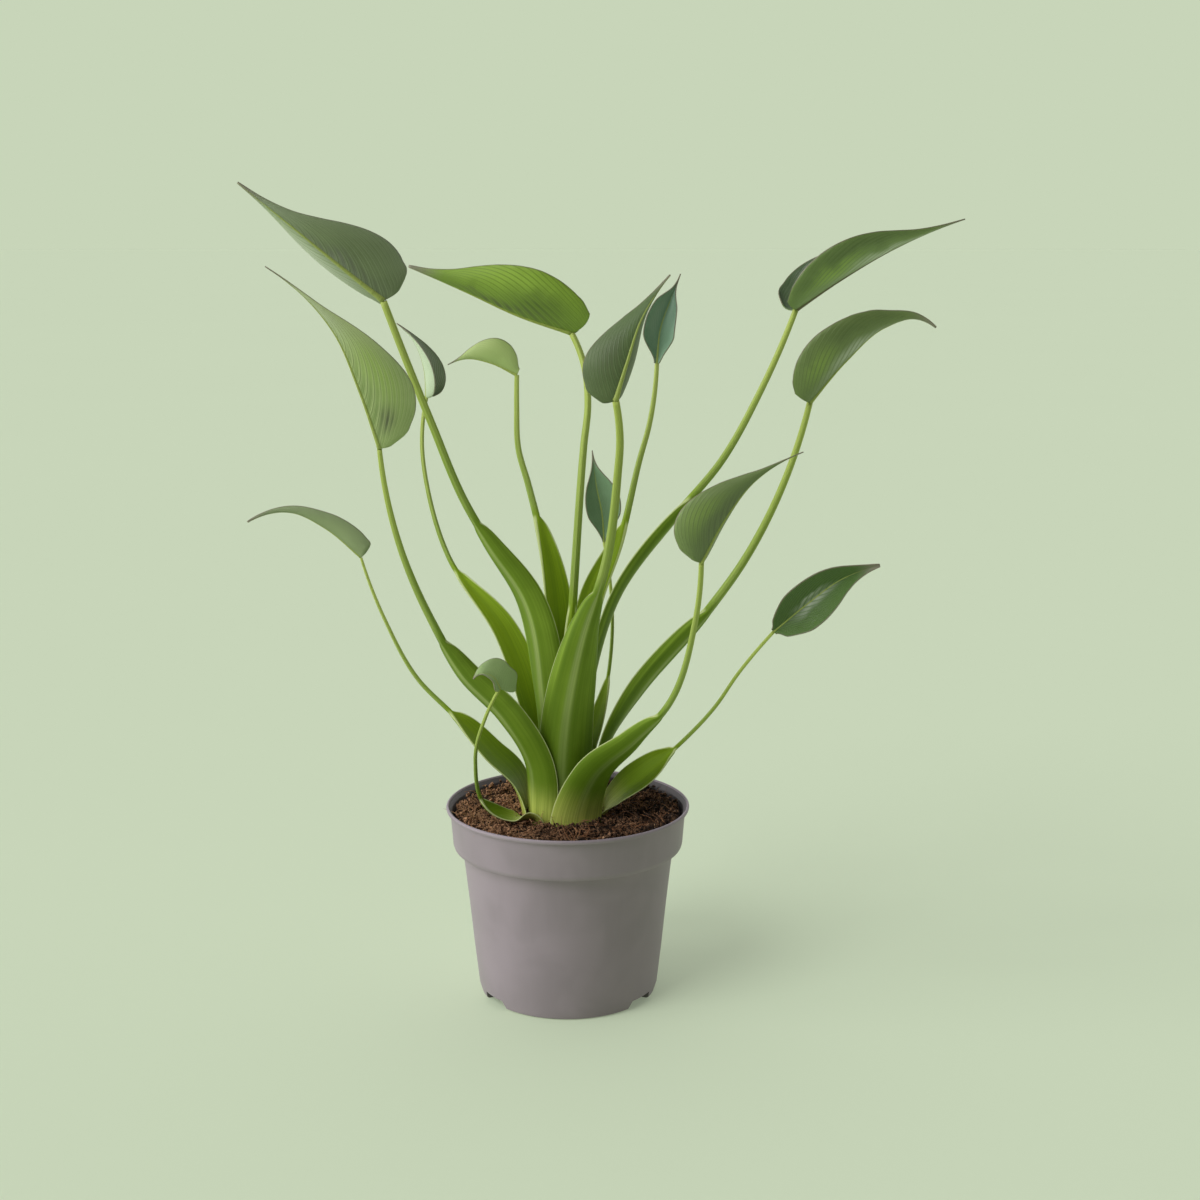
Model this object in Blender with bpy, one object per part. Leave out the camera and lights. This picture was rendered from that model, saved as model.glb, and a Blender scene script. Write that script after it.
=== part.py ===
"""Potted alocasia: a moulded nursery pot filled with soil, a short corm in a hole in the soil,
and fourteen leaves. Each leaf is a stalk, which is an open sheath below and a rod above, and a
thin folded blade. Sizes below are in millimetres. +Z is up, -Y is the front, and the origin is
the middle of the pot's flat underside."""

import math

import bmesh
import bpy
from mathutils import Vector

MM = 0.001
GAP = 0.3  # between neighbouring pieces

# Pot
POT_SEGMENTS = 56
FLOOR = 1.6
# outside of the pot from the foot to the top of the lip, as (radius, height)
POT_OUTSIDE = (
    (41.2, 0.0),
    (42.8, 0.9),
    (44.2, 4.6),
    (47.1, 26.0),
    (49.2, 47.0),
    (51.3, 66.0),
    (52.4, 74.0),
    (56.3, 75.2),
    (56.9, 77.0),
    (58.2, 93.6),
    (60.0, 94.2),
    (60.2, 95.3),
    (59.4, 96.0),
)
# inside of the pot from the top of the lip down to the floor
POT_INSIDE = (
    (58.4, 96.0),
    (57.6, 95.0),
    (55.5, 77.6),
    (51.0, 75.9),
    (50.0, 66.4),
    (48.0, 47.0),
    (45.9, 26.0),
    (42.8, 4.0),
    (40.8, FLOOR),
)
NOTCH_BEARINGS = (-145.0, -35.0, 35.0, 145.0)
NOTCH_HALF_ANGLE = 12.0  # at the wall, in degrees
NOTCH_HEIGHT = 3.6
NOTCH_INNER_RADIUS = 33.0
NOTCH_LEAN = 1.8  # how far a notch's sides lean in over its height
STEP_SIDE = 2.2  # degrees of floor step on each side of a notch
STEP_DEPTH = 1.5  # floor step behind a notch
STEP_LEAN = 0.6
STEP_RADIUS = 43.4  # the floor step ends inside the wall here
CUT_RADIUS = 50.0  # cutters reach out past the wall to here
DRAIN_RADIUS = 2.4
DRAIN_AT = 38.5

# Soil
SOIL_TOP = 88.5
SOIL_MOUND = 2.0  # how far it swells near the front right of the crown
SOIL_BANK = 2.4  # how far it rises against the wall
CROWN = (0.0, 4.0)  # plan position of the middle of the crown
HOLE_RADIUS = 26.0
HOLE_FLOOR = 56.0

# Corm
CORM_TOP = 80.0
CORM_RADIUS = 24.6

# Stalks
ACROSS = 6  # steps across a sheath
EDGE = 0.35  # half the thickness of a sheath's margin
SHEATH_HALF_THICK = 0.95
STRAIGHT = 11.0  # each sheath stands upright this far above the corm

# Blades
BLADE_THICK = 0.8
BLADE_ACROSS = 3  # steps from the midrib to the margin
# share of the full half-width at shares of the midrib's length
BLADE_OUTLINE = (
    (0.0, 0.38),
    (0.03, 0.66),
    (0.07, 0.82),
    (0.14, 0.95),
    (0.24, 1.0),
    (0.36, 0.93),
    (0.48, 0.76),
    (0.60, 0.52),
    (0.72, 0.29),
    (0.86, 0.12),
    (1.0, 0.03),
)

# Each stalk: foot = (radius from the middle of the crown, bearing of its back, angles that it
# wraps anticlockwise and clockwise of that, seen from above), wide = the sheath's half-widths
# on those two sides at its fullest, opens = share of its length where it starts to widen,
# sheath = its length along the line, turn = (bearing of its back where the sheath ends,
# half-angle of its curl there), rod = radius at the sheath's end and at the blade, line = points
# that the back passes through. Bearings: 0 = +X, -90 = front.
STALKS = {
    "upper_left": dict(
        foot=(13, -143, 46, 46),
        wide=(14, 14),
        turn=(-115, 55),
        sheath=165,
        rod=(2.2, 1.8),
        line=((-11, -5, 150), (-20, -11, 202), (-36, -15, 228), (-47, -18, 248), (-62, -25, 287)),
    ),
    "mid_left": dict(
        foot=(19, -150, 44, 44),
        wide=(14.5, 14.5),
        turn=(-118, 55),
        sheath=118,
        rod=(2.2, 1.2),
        line=((-17, -8, 116), (-30, -14, 143), (-49, -23, 167), (-63, -34, 196), (-75, -50, 233)),
    ),
    "small_left": dict(
        foot=(13, 138, 28, 28),
        wide=(7, 13),
        opens=0.1,
        turn=(110, 55),
        sheath=140,
        rod=(1.4, 1.0),
        line=((-17, 13, 131), (-33, 24, 177), (-60, 39, 212), (-71, 51, 243), (-75, 62, 270)),
    ),
    "tall_centre": dict(
        foot=(3.6, 90, 70, 70),
        wide=(5.5, 5.5),
        turn=(90, 45),
        sheath=110,
        rod=(2.3, 1.6),
        line=((1, 12, 166), (4, 19, 216), (8, 28, 271), (10, 30, 291), (8, 33, 310)),
    ),
    "pale_centre": dict(
        foot=(7, 150, 46, 40),
        wide=(6, 16),
        opens=0.35,
        turn=(125, 55),
        sheath=157,
        rod=(2.0, 1.3),
        line=((-6, 15, 170), (-11, 27, 214), (-20, 40, 250), (-25, 46, 267), (-26, 53, 287)),
    ),
    "front_centre": dict(
        foot=(16, -95, 52, 58),
        wide=(16.5, 16.5),
        turn=(-80, 60),
        sheath=128,
        rod=(2.5, 1.7),
        line=((-1, -14, 124), (8, -22, 184), (19, -28, 223), (24, -36, 264), (25, -41, 281)),
    ),
    "blue_right": dict(
        foot=(7, 50, 42, 22),
        wide=(16, 3.5),
        opens=0.35,
        turn=(65, 50),
        sheath=156,
        rod=(1.9, 1.2),
        line=((7, 13, 148), (16, 25, 196), (25, 34, 219), (36, 51, 261), (41, 59, 278)),
    ),
    "back_short": dict(
        foot=(13, 75, 20, 20),
        wide=(6, 8),
        opens=0.3,
        turn=(60, 50),
        sheath=76,
        rod=(1.0, 0.9),
        line=((10, 18, 120), (19, 24, 149), (22, 33, 173), (21, 49, 199)),
    ),
    "upper_right": dict(
        foot=(10, 8, 22, 50),
        wide=(6, 13),
        opens=0.1,
        turn=(-15, 50),
        sheath=178,
        rod=(2.2, 1.6),
        line=((14, 7, 165), (24, 12, 196), (54, 22, 237), (76, 28, 263), (95, 36, 296)),
    ),
    "mid_right": dict(
        foot=(13, -5, 42, 30),
        wide=(12, 14),
        opens=0.2,
        turn=(-45, 45),
        sheath=130,
        rod=(2.5, 1.6),
        line=((19, 0, 125), (35, -3, 153), (66, -10, 193), (84, -15, 220), (101, -23, 257)),
    ),
    "front_right": dict(
        foot=(22, -75, 38, 38),
        wide=(13.5, 13),
        turn=(-55, 55),
        sheath=84,
        rod=(1.9, 1.3),
        line=((13, -20, 114), (32, -28, 135), (47, -37, 154), (59, -56, 198)),
    ),
    "low_right": dict(
        foot=(19, -8, 30, 28),
        wide=(13, 11),
        turn=(50, 40),
        sheath=60,
        rod=(1.1, 0.85),
        line=((27, -1, 101), (45, -5, 118), (71, -17, 149), (82, -27, 169)),
    ),
    "low_left": dict(
        foot=(22, 180, 27, 27),
        wide=(8, 15),
        turn=(145, 45),
        sheath=72,
        rod=(1.4, 0.8),
        line=((-26, 5, 104), (-39, 7, 118), (-57, 14, 137), (-75, 20, 154), (-92, 30, 182)),
    ),
    "soil_left": dict(
        foot=(22.4, -134, 12, 12),
        wide=(6, 8),
        turn=(-200, 45),
        sheath=42,
        rod=(1.1, 0.9),
        line=((-28, -15, 92.5), (-39, -17, 99), (-44, -23, 124), (-38, -34, 149)),
    ),
}

# Each blade: midrib = points from the stalk to the tip; left and right = (half-width, direction
# in which that half leaves the midrib, direction at its margin, how far its lobe reaches back,
# belly: over 1 moves its widest place towards the tip). Left is on the left when the tip is up.
# Directions: 0 = square to the midrib in the X-Z plane, 90 = straight back. slim over 1 narrows
# the outer part, base under 1 narrows it by the stalk and over 1 widens it there.
BLADES = {
    "upper_left": dict(
        midrib=((-82, -34, 343), (-104, -37, 361), (-123, -39, 377), (-145, -40, 395)),
        left=(17.5, 42, 97, 0, 1.4),
        right=(24, 1, 45, 2.5, 0.85),
        slim=1.1,
    ),
    "mid_left": dict(
        midrib=((-81, -70, 280), (-89, -73, 306), (-99, -76, 331), (-127, -79, 359)),
        left=(22.5, 80, 120, 0.5, 1),
        right=(23.5, -6, 40, 0.5, 0.95),
        slim=1.7,
    ),
    "small_left": dict(
        midrib=((-73, 70, 291), (-74, 71, 305), (-80, 73, 320), (-88, 74, 328)),
        left=(12.5, 115, 174, 0, 1),
        right=(13, -86, -39, 0.5, 0.85),
        slim=1.05,
    ),
    "tall_centre": dict(
        midrib=((2, 36, 325), (-23, 37, 333), (-50, 38, 345), (-78, 40, 357)),
        left=(27, 91, 147, 3, 1),
        right=(27.5, -51, 11, 6, 1.15),
        slim=0.9,
    ),
    "pale_centre": dict(
        midrib=((-26, 58, 303), (-39, 58, 309), (-52, 59, 311), (-61, 59, 308)),
        left=(11.5, 93, 149, 0, 1.2),
        right=(14, -43, 25, 0, 1.4),
        slim=1.55,
    ),
    "front_centre": dict(
        midrib=((23, -46, 299), (28, -49, 316), (35, -52, 337), (47, -54, 355)),
        left=(20.5, -3, 46, 3, 0.9),
        right=(21, 60, 107, 0.5, 1),
        slim=1.25,
    ),
    "blue_right": dict(
        midrib=((45, 70, 308), (47, 72, 326), (52, 74, 340), (57, 75, 353)),
        left=(12, -20, -64, 0, 1.55),
        right=(12.5, -35, -74, 0, 1),
        slim=0.65,
        base=0.3,
    ),
    "back_short": dict(
        midrib=((18, 60, 217), (17, 62, 231), (14, 63, 246), (12, 64, 264)),
        left=(9.5, -19, -57, 0, 1.5),
        right=(12, -5, -44, 0, 1.75),
        slim=1.4,
        base=0.4,
    ),
    "upper_right": dict(
        midrib=((113, 46, 336), (134, 47, 350), (164, 49, 367), (196, 50, 380)),
        left=(26.5, -77, -15, 2, 1.15),
        right=(26, 101, 154, 3.5, 0.85),
        slim=1.2,
    ),
    "mid_right": dict(
        midrib=((112, -32, 297), (128, -33, 316), (145, -34, 331), (159, -35, 335), (168, -35, 331)),
        left=(25.5, -73, 7, 1, 1.15),
        right=(23.5, 98, 144, 0.5, 1),
    ),
    "front_right": dict(
        midrib=((61, -70, 229), (70, -72, 247), (84, -73, 266), (105, -74, 279)),
        left=(22, -52, 15, 0, 1),
        right=(23.5, 63, 133, 0, 0.7),
        slim=1.65,
    ),
    "low_right": dict(
        midrib=((97, -38, 191), (112, -42, 205), (127, -45, 217), (144, -48, 224)),
        left=(13, -20, -39, 0, 1.55),
        right=(12, -23, -42, 0, 1.3),
        slim=0.8,
        base=0.7,
    ),
    "low_left": dict(
        midrib=((-105, 42, 212), (-123, 43, 227), (-140, 43, 235), (-162, 43, 230)),
        left=(10, 105, 160, 0, 0.8),
        right=(11, -43, 33, 0, 0.75),
        slim=0.85,
    ),
    "soil_left": dict(
        midrib=((-31, -40, 164), (-34, -42, 170), (-39, -43, 172), (-43, -42, 169)),
        left=(2.5, -75, -40, 0, 1),
        right=(11, 30, 60, 7, 1.3),
        base=1.7,
    ),
}


def clear_scene():
    for obj in list(bpy.data.objects):
        bpy.data.objects.remove(obj, do_unlink=True)


def material(name, colour, roughness):
    made = bpy.data.materials.new(name)
    made.use_nodes = True
    shader = made.node_tree.nodes["Principled BSDF"]
    shader.inputs["Base Color"].default_value = (*colour, 1.0)
    shader.inputs["Roughness"].default_value = roughness
    made.diffuse_color = (*colour, 1.0)
    return made


def finish(name, bm, slot, smooth=True):
    """Turn a mesh drawn in millimetres into an object of that name."""
    bm.normal_update()
    bmesh.ops.recalc_face_normals(bm, faces=bm.faces)
    bmesh.ops.scale(bm, vec=(MM, MM, MM), verts=bm.verts)
    mesh = bpy.data.meshes.new(name)
    bm.to_mesh(mesh)
    bm.free()
    for face in mesh.polygons:
        face.use_smooth = smooth
    mesh.materials.append(slot)
    obj = bpy.data.objects.new(name, mesh)
    bpy.context.scene.collection.objects.link(obj)
    return obj


def helper(obj):
    obj.hide_render = True
    obj.display_type = "WIRE"
    return obj


def boolean(obj, other, operation):
    step = obj.modifiers.new(other.name, "BOOLEAN")
    step.operation = operation
    step.solver = "EXACT"
    step.object = other


def blend(a, b, share):
    return a + (b - a) * share


def ease(share):
    share = min(1.0, max(0.0, share))
    return share * share * (3.0 - 2.0 * share)


def smooth_line(points, steps=24):
    """Points of a curve through all the given points, and the length up to each."""
    spans = [(b - a).length for a, b in zip(points, points[1:])]
    slopes = [(b - a) / span for a, b, span in zip(points, points[1:], spans)]
    tangents = [slopes[0]]
    for i in range(1, len(points) - 1):
        before, after = spans[i - 1], spans[i]
        tangents.append((slopes[i - 1] * after + slopes[i] * before) / (before + after))
    tangents.append(slopes[-1] * 2 - tangents[-1])
    found = []
    for i, span in enumerate(spans):
        for k in range(steps):
            t = k / steps
            found.append(
                points[i] * (1 + 2 * t) * (1 - t) ** 2
                + tangents[i] * (span * t * (1 - t) ** 2)
                + points[i + 1] * t * t * (3 - 2 * t)
                - tangents[i + 1] * (span * t * t * (1 - t))
            )
    found.append(points[-1].copy())
    lengths = [0.0]
    for a, b in zip(found, found[1:]):
        lengths.append(lengths[-1] + (b - a).length)
    return found, lengths


def point_at(line, distance):
    """Point and direction at a distance along a line made by smooth_line."""
    found, lengths = line
    distance = min(lengths[-1], max(0.0, distance))
    i = 0
    while i < len(lengths) - 2 and lengths[i + 1] < distance:
        i += 1
    share = (distance - lengths[i]) / (lengths[i + 1] - lengths[i])
    before, after = found[max(0, i - 1)], found[min(len(found) - 1, i + 2)]
    near = (found[i + 1] - found[i]).normalized()
    wide = (after - before).normalized()
    return found[i].lerp(found[i + 1], share), (near + wide).normalized()


def turned(profile, segments):
    """A solid turned about Z from (radius, height) points that run from axis to axis."""
    bm = bmesh.new()
    verts = [bm.verts.new((r, 0.0, z)) for r, z in profile]
    edges = [bm.edges.new(pair) for pair in zip(verts, verts[1:])]
    bmesh.ops.spin(
        bm,
        geom=verts + edges,
        cent=(0, 0, 0),
        axis=(0, 0, 1),
        angle=2 * math.pi,
        steps=segments,
        use_merge=True,
    )
    bmesh.ops.remove_doubles(bm, verts=bm.verts, dist=0.01)
    return bm


def wedge(bearing, half_angle, inner, outer, bottom, top, slope):
    """A block that widens with radius, its sides leaning in by slope at the top."""
    bm = bmesh.new()
    bmesh.ops.create_cube(bm, size=2.0)
    turn = math.radians(bearing)
    along = Vector((math.cos(turn), math.sin(turn), 0))
    side = Vector((-math.sin(turn), math.cos(turn), 0))
    for v in bm.verts:
        radius = outer if v.co.x > 0 else inner
        half = radius * math.tan(math.radians(half_angle)) - (slope if v.co.z > 0 else 0)
        height = top if v.co.z > 0 else bottom
        v.co = along * radius + side * (half * v.co.y) + Vector((0, 0, height))
    return bm


def soil_height(x, y):
    """Height of the soil, banked up at the wall, with a swelling by the crown."""
    swell = SOIL_MOUND * math.exp(-((x - 14) ** 2 + (y + 26) ** 2) / 420.0)
    swell += SOIL_BANK * ease((math.hypot(x, y) - 42.0) / 10.0)
    rough = 0.5 * math.sin(0.31 * x + 1.0) * math.cos(0.27 * y)
    rough += 0.3 * math.sin(0.19 * x - 0.43 * y)
    return SOIL_TOP + swell + rough


def make_pot(slot):
    profile = ((0.0, 0.0), *POT_OUTSIDE, *POT_INSIDE, (0.0, FLOOR))
    pot = finish("pot", turned(profile, POT_SEGMENTS), slot)
    for k, bearing in enumerate(NOTCH_BEARINGS):
        # the floor steps up over each notch, with a drain hole in the step
        rise = helper(
            finish(
                f"rise_{k}",
                wedge(
                    bearing,
                    NOTCH_HALF_ANGLE + STEP_SIDE,
                    NOTCH_INNER_RADIUS - STEP_DEPTH,
                    STEP_RADIUS,
                    FLOOR / 4,
                    NOTCH_HEIGHT + FLOOR,
                    STEP_LEAN,
                ),
                slot,
                False,
            )
        )
        boolean(pot, rise, "UNION")
    for k, bearing in enumerate(NOTCH_BEARINGS):
        notch = helper(
            finish(
                f"notch_{k}",
                wedge(
                    bearing,
                    NOTCH_HALF_ANGLE,
                    NOTCH_INNER_RADIUS,
                    CUT_RADIUS,
                    -FLOOR,
                    NOTCH_HEIGHT,
                    NOTCH_LEAN,
                ),
                slot,
                False,
            )
        )
        boolean(pot, notch, "DIFFERENCE")
        bm = bmesh.new()
        bmesh.ops.create_cone(
            bm,
            cap_ends=True,
            segments=16,
            radius1=DRAIN_RADIUS,
            radius2=DRAIN_RADIUS,
            depth=3 * NOTCH_HEIGHT,
        )
        turn = math.radians(bearing)
        middle = Vector((math.cos(turn), math.sin(turn), 0)) * DRAIN_AT
        bmesh.ops.translate(bm, vec=middle + Vector((0, 0, NOTCH_HEIGHT)), verts=bm.verts)
        drain = helper(finish(f"drain_{k}", bm, slot, False))
        boolean(pot, drain, "DIFFERENCE")
    return pot


def make_soil(slot):
    """The filling, clear of the pot all round, with a plain round hole for the corm."""
    inset = GAP * 1.5  # the walls slope, so a little more than the gap
    inside = [(r - inset, z + GAP) for r, z in reversed(POT_INSIDE[2:-1])]
    profile = [
        (0.0, FLOOR + GAP),
        (POT_INSIDE[-1][0] - 2 * inset, FLOOR + GAP),
        *inside,
        (inside[-1][0] + 2 * inset, SOIL_TOP),
    ]
    profile += [(r, SOIL_TOP) for r in (50.0, 44.0, 38.0, 32.0, 20.0, 0.0)]
    bm = turned(profile, POT_SEGMENTS)
    for v in bm.verts:
        if v.co.z > SOIL_TOP - 0.01:
            v.co.z = soil_height(v.co.x, v.co.y)
    bmesh.ops.triangulate(bm, faces=bm.faces)
    soil = finish("soil", bm, slot)
    for k, bearing in enumerate(NOTCH_BEARINGS):
        step = helper(
            finish(
                f"step_{k}",
                wedge(
                    bearing,
                    NOTCH_HALF_ANGLE + STEP_SIDE + 1.0,
                    NOTCH_INNER_RADIUS - STEP_DEPTH - 2 * GAP,
                    CUT_RADIUS,
                    -FLOOR,
                    NOTCH_HEIGHT + FLOOR + GAP,
                    STEP_LEAN - GAP,
                ),
                slot,
                False,
            )
        )
        boolean(soil, step, "DIFFERENCE")
    bm = bmesh.new()
    depth = 2 * (SOIL_TOP - HOLE_FLOOR)
    bmesh.ops.create_cone(
        bm, cap_ends=True, segments=40, radius1=HOLE_RADIUS, radius2=HOLE_RADIUS, depth=depth
    )
    bmesh.ops.translate(bm, vec=(*CROWN, HOLE_FLOOR + depth / 2), verts=bm.verts)
    boolean(soil, helper(finish("hole", bm, slot, False)), "DIFFERENCE")
    return soil


def make_corm(slot):
    """A short thick stem with a rounded foot, standing in the hole."""
    bottom = HOLE_FLOOR + GAP
    profile = (
        (0.0, bottom),
        (CORM_RADIUS * 0.5, bottom),
        (CORM_RADIUS * 0.78, bottom + 3.5),
        (CORM_RADIUS * 0.97, bottom + 10.0),
        (CORM_RADIUS, CORM_TOP - 4.0),
        (CORM_RADIUS, CORM_TOP),
        (0.0, CORM_TOP),
    )
    bm = turned(profile, 40)
    bmesh.ops.translate(bm, vec=(*CROWN, 0.0), verts=bm.verts)
    return finish("corm", bm, slot)


def section(centre, across, inward, widths, bend, half_thick):
    """One ring of a stalk: a curled strip, thick in the middle and thin at its margins."""
    back, front = [], []
    for k in range(ACROSS + 1):
        q = math.sin(math.pi * (k / ACROSS - 0.5))
        a = q * widths[0 if q < 0 else 1] / bend
        normal = inward * math.cos(a) - across * math.sin(a)
        middle = centre + across * (bend * math.sin(a)) + inward * (bend * (1 - math.cos(a)))
        half = max(EDGE, half_thick * math.sqrt(max(0.0, 1 - q * q)))
        back.append(middle - normal * half)
        front.append(middle + normal * half)
    return back + front[::-1]


def stalk_rings(spec, end):
    """The rings of one stalk from its foot on the corm to the blade."""
    radius, bearing, *wraps = spec["foot"]
    end_bearing, curl = spec["turn"]
    thick_rod, thin_rod = spec["rod"]
    turn = math.radians(bearing)
    x, y = CROWN[0] + radius * math.cos(turn), CROWN[1] + radius * math.sin(turn)
    foot = CORM_TOP + GAP
    points = [Vector((x, y, foot)), Vector((x, y, foot + STRAIGHT))]
    points += [Vector(p) for p in (*spec["line"], end)]
    line = smooth_line(points)
    length = line[1][-1] - (GAP + 0.2 + 0.45 * thin_rod)
    count = max(12, round(length / 17.0) + 3)
    rings = []
    for i in range(count + 1):
        at = length * (i / count) ** 1.12
        centre, along = point_at(line, at)
        if i == 0:
            along = Vector((0, 0, 1))
        t = min(1.0, at / spec["sheath"])
        facing = math.radians(blend(bearing, end_bearing, ease(t)))
        inward = Vector((-math.cos(facing), -math.sin(facing), 0.35 if i else 0.0))
        inward = (inward - along * inward.dot(along)).normalized()
        across = along.cross(inward)
        past = (at - spec["sheath"]) / max(1.0, length - spec["sheath"])
        rod = blend(thick_rod, thin_rod, max(0.0, past))
        # the sheath widens from the foot, then narrows to the rod
        widths = []
        for wrap, wide in zip(wraps, spec["wide"]):
            opening = ease((t - spec.get("opens", 0.0)) / 0.45)
            full = blend(radius * math.radians(wrap), wide, opening)
            widths.append(rod + max(0.0, full - rod) * (1 - t * t) ** 0.6)
        # it keeps the curl it has around the crown until it leaves its neighbours
        bend = blend(radius, max(spec["wide"]) / math.radians(curl), ease((t - 0.1) / 0.5))
        bend = blend(bend, 2 * rod, ease((t - 0.6) / 0.4))
        half_thick = blend(SHEATH_HALF_THICK, rod, t * t)
        rings.append(section(centre, across, inward, widths, bend, half_thick))
    return rings


def make_stalk(name, spec, end, slot):
    """Bridge the rings into a tube, and close both ends."""
    rings = stalk_rings(spec, end)
    around = len(rings[0])
    bm = bmesh.new()
    bmesh.ops.create_grid(bm, x_segments=around, y_segments=len(rings) - 1, size=1.0)
    for v in bm.verts:
        column = round((v.co.x + 1) / 2 * around)
        row = round((v.co.y + 1) / 2 * (len(rings) - 1))
        v.co = rings[row][column % around]
    bmesh.ops.remove_doubles(bm, verts=bm.verts, dist=0.001)
    bm.verts.ensure_lookup_table()
    for ring in (rings[0], rings[-1]):
        near = [min(bm.verts, key=lambda v, p=p: (v.co - p).length) for p in ring]
        for k in range(around // 2 - 1):
            bm.faces.new((near[k], near[k + 1], near[-k - 2], near[-k - 1]))
    bmesh.ops.recalc_face_normals(bm, faces=bm.faces)
    bmesh.ops.triangulate(bm, faces=bm.faces, quad_method="FIXED")
    return finish(name, bm, slot)


def half_blade(spec, share, side, along, size):
    """Where a half of the blade lies beside the midrib, at a share of its half-width."""
    half_width, first, last = spec[:3]
    first, last = math.radians(first), math.radians(last)
    left = Vector((-along.z, 0.0, along.x)).normalized()
    back = left.cross(along)
    now = blend(first, last, share)
    over = (math.sin(now) - math.sin(first)) / (last - first)
    deep = (math.cos(first) - math.cos(now)) / (last - first)
    return (left * (side * over) + back * deep) * (half_width * size)


def blade_size(spec, half, at):
    """Share of a half's full width at a share of the midrib's length."""
    moved = at ** half[4]
    size = BLADE_OUTLINE[-1][1]
    for (a, low), (b, high) in zip(BLADE_OUTLINE, BLADE_OUTLINE[1:]):
        if a <= moved <= b:
            size = blend(low, high, (moved - a) / (b - a))
            break
    return size ** spec.get("slim", 1.0) * blend(spec.get("base", 1.0), 1.0, ease(at / 0.3))


def make_blade(name, spec, slot):
    """A thin sheet folded along its midrib, its two halves curled, drawn out to a tip."""
    points = [Vector(p) for p in spec["midrib"]]
    line = smooth_line(points)
    length = line[1][-1]
    rows = len(BLADE_OUTLINE) - 1
    bm = bmesh.new()
    bmesh.ops.create_grid(bm, x_segments=2 * BLADE_ACROSS, y_segments=rows, size=1.0)
    for v in bm.verts:
        q = v.co.x
        at = BLADE_OUTLINE[round((v.co.y + 1) / 2 * rows)][0]
        centre, along = point_at(line, at * length)
        side, share = (1, -q) if q < 0 else (-1, q)
        half = spec["left"] if side > 0 else spec["right"]
        size = blade_size(spec, half, at)
        place = centre + half_blade(half, share, side, along, size)
        # rounded lobes reach back past the stalk
        place -= along * (half[3] * math.sin(share * math.pi / 2) * (1 - at) ** 8)
        v.co = place
    bmesh.ops.triangulate(bm, faces=bm.faces, quad_method="FIXED")
    bmesh.ops.recalc_face_normals(bm, faces=bm.faces)
    blade = finish(name, bm, slot)
    shell = blade.modifiers.new("thickness", "SOLIDIFY")
    shell.thickness = BLADE_THICK * MM
    shell.offset = 0.0
    shell.use_even_offset = True
    shell.use_rim = True
    return blade


def main():
    clear_scene()
    pot_plastic = material("pot_plastic", (0.19, 0.175, 0.165), 0.5)
    soil_mix = material("soil_mix", (0.045, 0.028, 0.018), 0.95)
    corm_skin = material("corm_skin", (0.25, 0.16, 0.09), 0.8)
    leaf_stalk = material("leaf_stalk", (0.16, 0.29, 0.045), 0.45)
    leaf_blade = material("leaf_blade", (0.07, 0.17, 0.045), 0.45)
    make_pot(pot_plastic)
    make_soil(soil_mix)
    make_corm(corm_skin)
    for name, spec in STALKS.items():
        make_stalk(f"stalk_{name}", spec, BLADES[name]["midrib"][0], leaf_stalk)
    for name, spec in BLADES.items():
        make_blade(f"blade_{name}", spec, leaf_blade)


main()
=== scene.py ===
# %% [markdown]
# # A potted alocasia, dressed over its CAD solids
#
# The solids give the pot, the soil, the corm, fourteen leaf stalks and fourteen blades. Here each
# one gets its finished shape and finish. Sizes are in millimetres while a piece is being drawn,
# and in metres in the finished mesh. +Z is up, -Y is the front, and the origin is the middle of
# the pot's flat underside.
#
# First the frame is loaded, and its meshes are freed from their parents where they stand. The
# finished model must not outgrow it.

# %% Load the frame
import math
import random

import bmesh
import bpy
from mathutils import Matrix, Vector, noise


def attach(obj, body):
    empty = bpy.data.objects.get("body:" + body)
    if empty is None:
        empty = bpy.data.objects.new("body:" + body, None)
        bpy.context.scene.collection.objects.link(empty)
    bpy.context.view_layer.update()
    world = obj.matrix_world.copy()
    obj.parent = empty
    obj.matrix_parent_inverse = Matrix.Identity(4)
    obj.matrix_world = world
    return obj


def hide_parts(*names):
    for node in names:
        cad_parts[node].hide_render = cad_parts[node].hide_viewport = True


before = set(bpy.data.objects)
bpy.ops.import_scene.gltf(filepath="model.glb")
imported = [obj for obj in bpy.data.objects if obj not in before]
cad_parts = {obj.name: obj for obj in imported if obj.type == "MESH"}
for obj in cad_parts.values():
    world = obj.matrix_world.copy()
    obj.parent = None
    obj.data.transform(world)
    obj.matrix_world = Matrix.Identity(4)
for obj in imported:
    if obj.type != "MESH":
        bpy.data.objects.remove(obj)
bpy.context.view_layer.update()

MM = 0.001

# %% [markdown]
# ## The camera
#
# The photograph was taken a little above the leaves, looking slightly down. The height, distance
# and tilt below were found by laying the solids over the photograph until the pot's rim, its base
# and the leaf tips all fell in place. Focal length comes from the width of view at that distance.

# %% Camera
CAMERA_AT = (0.01595, -0.879, 0.3712)
CAMERA_DOWN = 11.12  # degrees below level
LENS = 55.35  # mm, for a sensor 36 mm wide

camera_data = bpy.data.cameras.new("photo_camera")
camera_data.sensor_width = 36.0
camera_data.lens = LENS
camera_data.clip_start = 0.02
camera_data.clip_end = 200.0
camera = bpy.data.objects.new("photo_camera", camera_data)
camera.location = CAMERA_AT
camera.rotation_euler = (math.radians(90.0 - CAMERA_DOWN), 0.0, 0.0)
bpy.context.scene.collection.objects.link(camera)
bpy.context.scene.camera = camera
print("camera", CAMERA_AT, "lens", LENS)

# %% [markdown]
# ## Small helpers for meshes
#
# Every piece is drawn in a bmesh, which is Blender's editable mesh without an object. `finished`
# turns it into an object: it merges doubled corners, makes the faces point outwards, scales
# millimetres to metres and sets the shading. Pieces ride on the one CAD body, and most of them
# stand for a CAD node.

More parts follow.
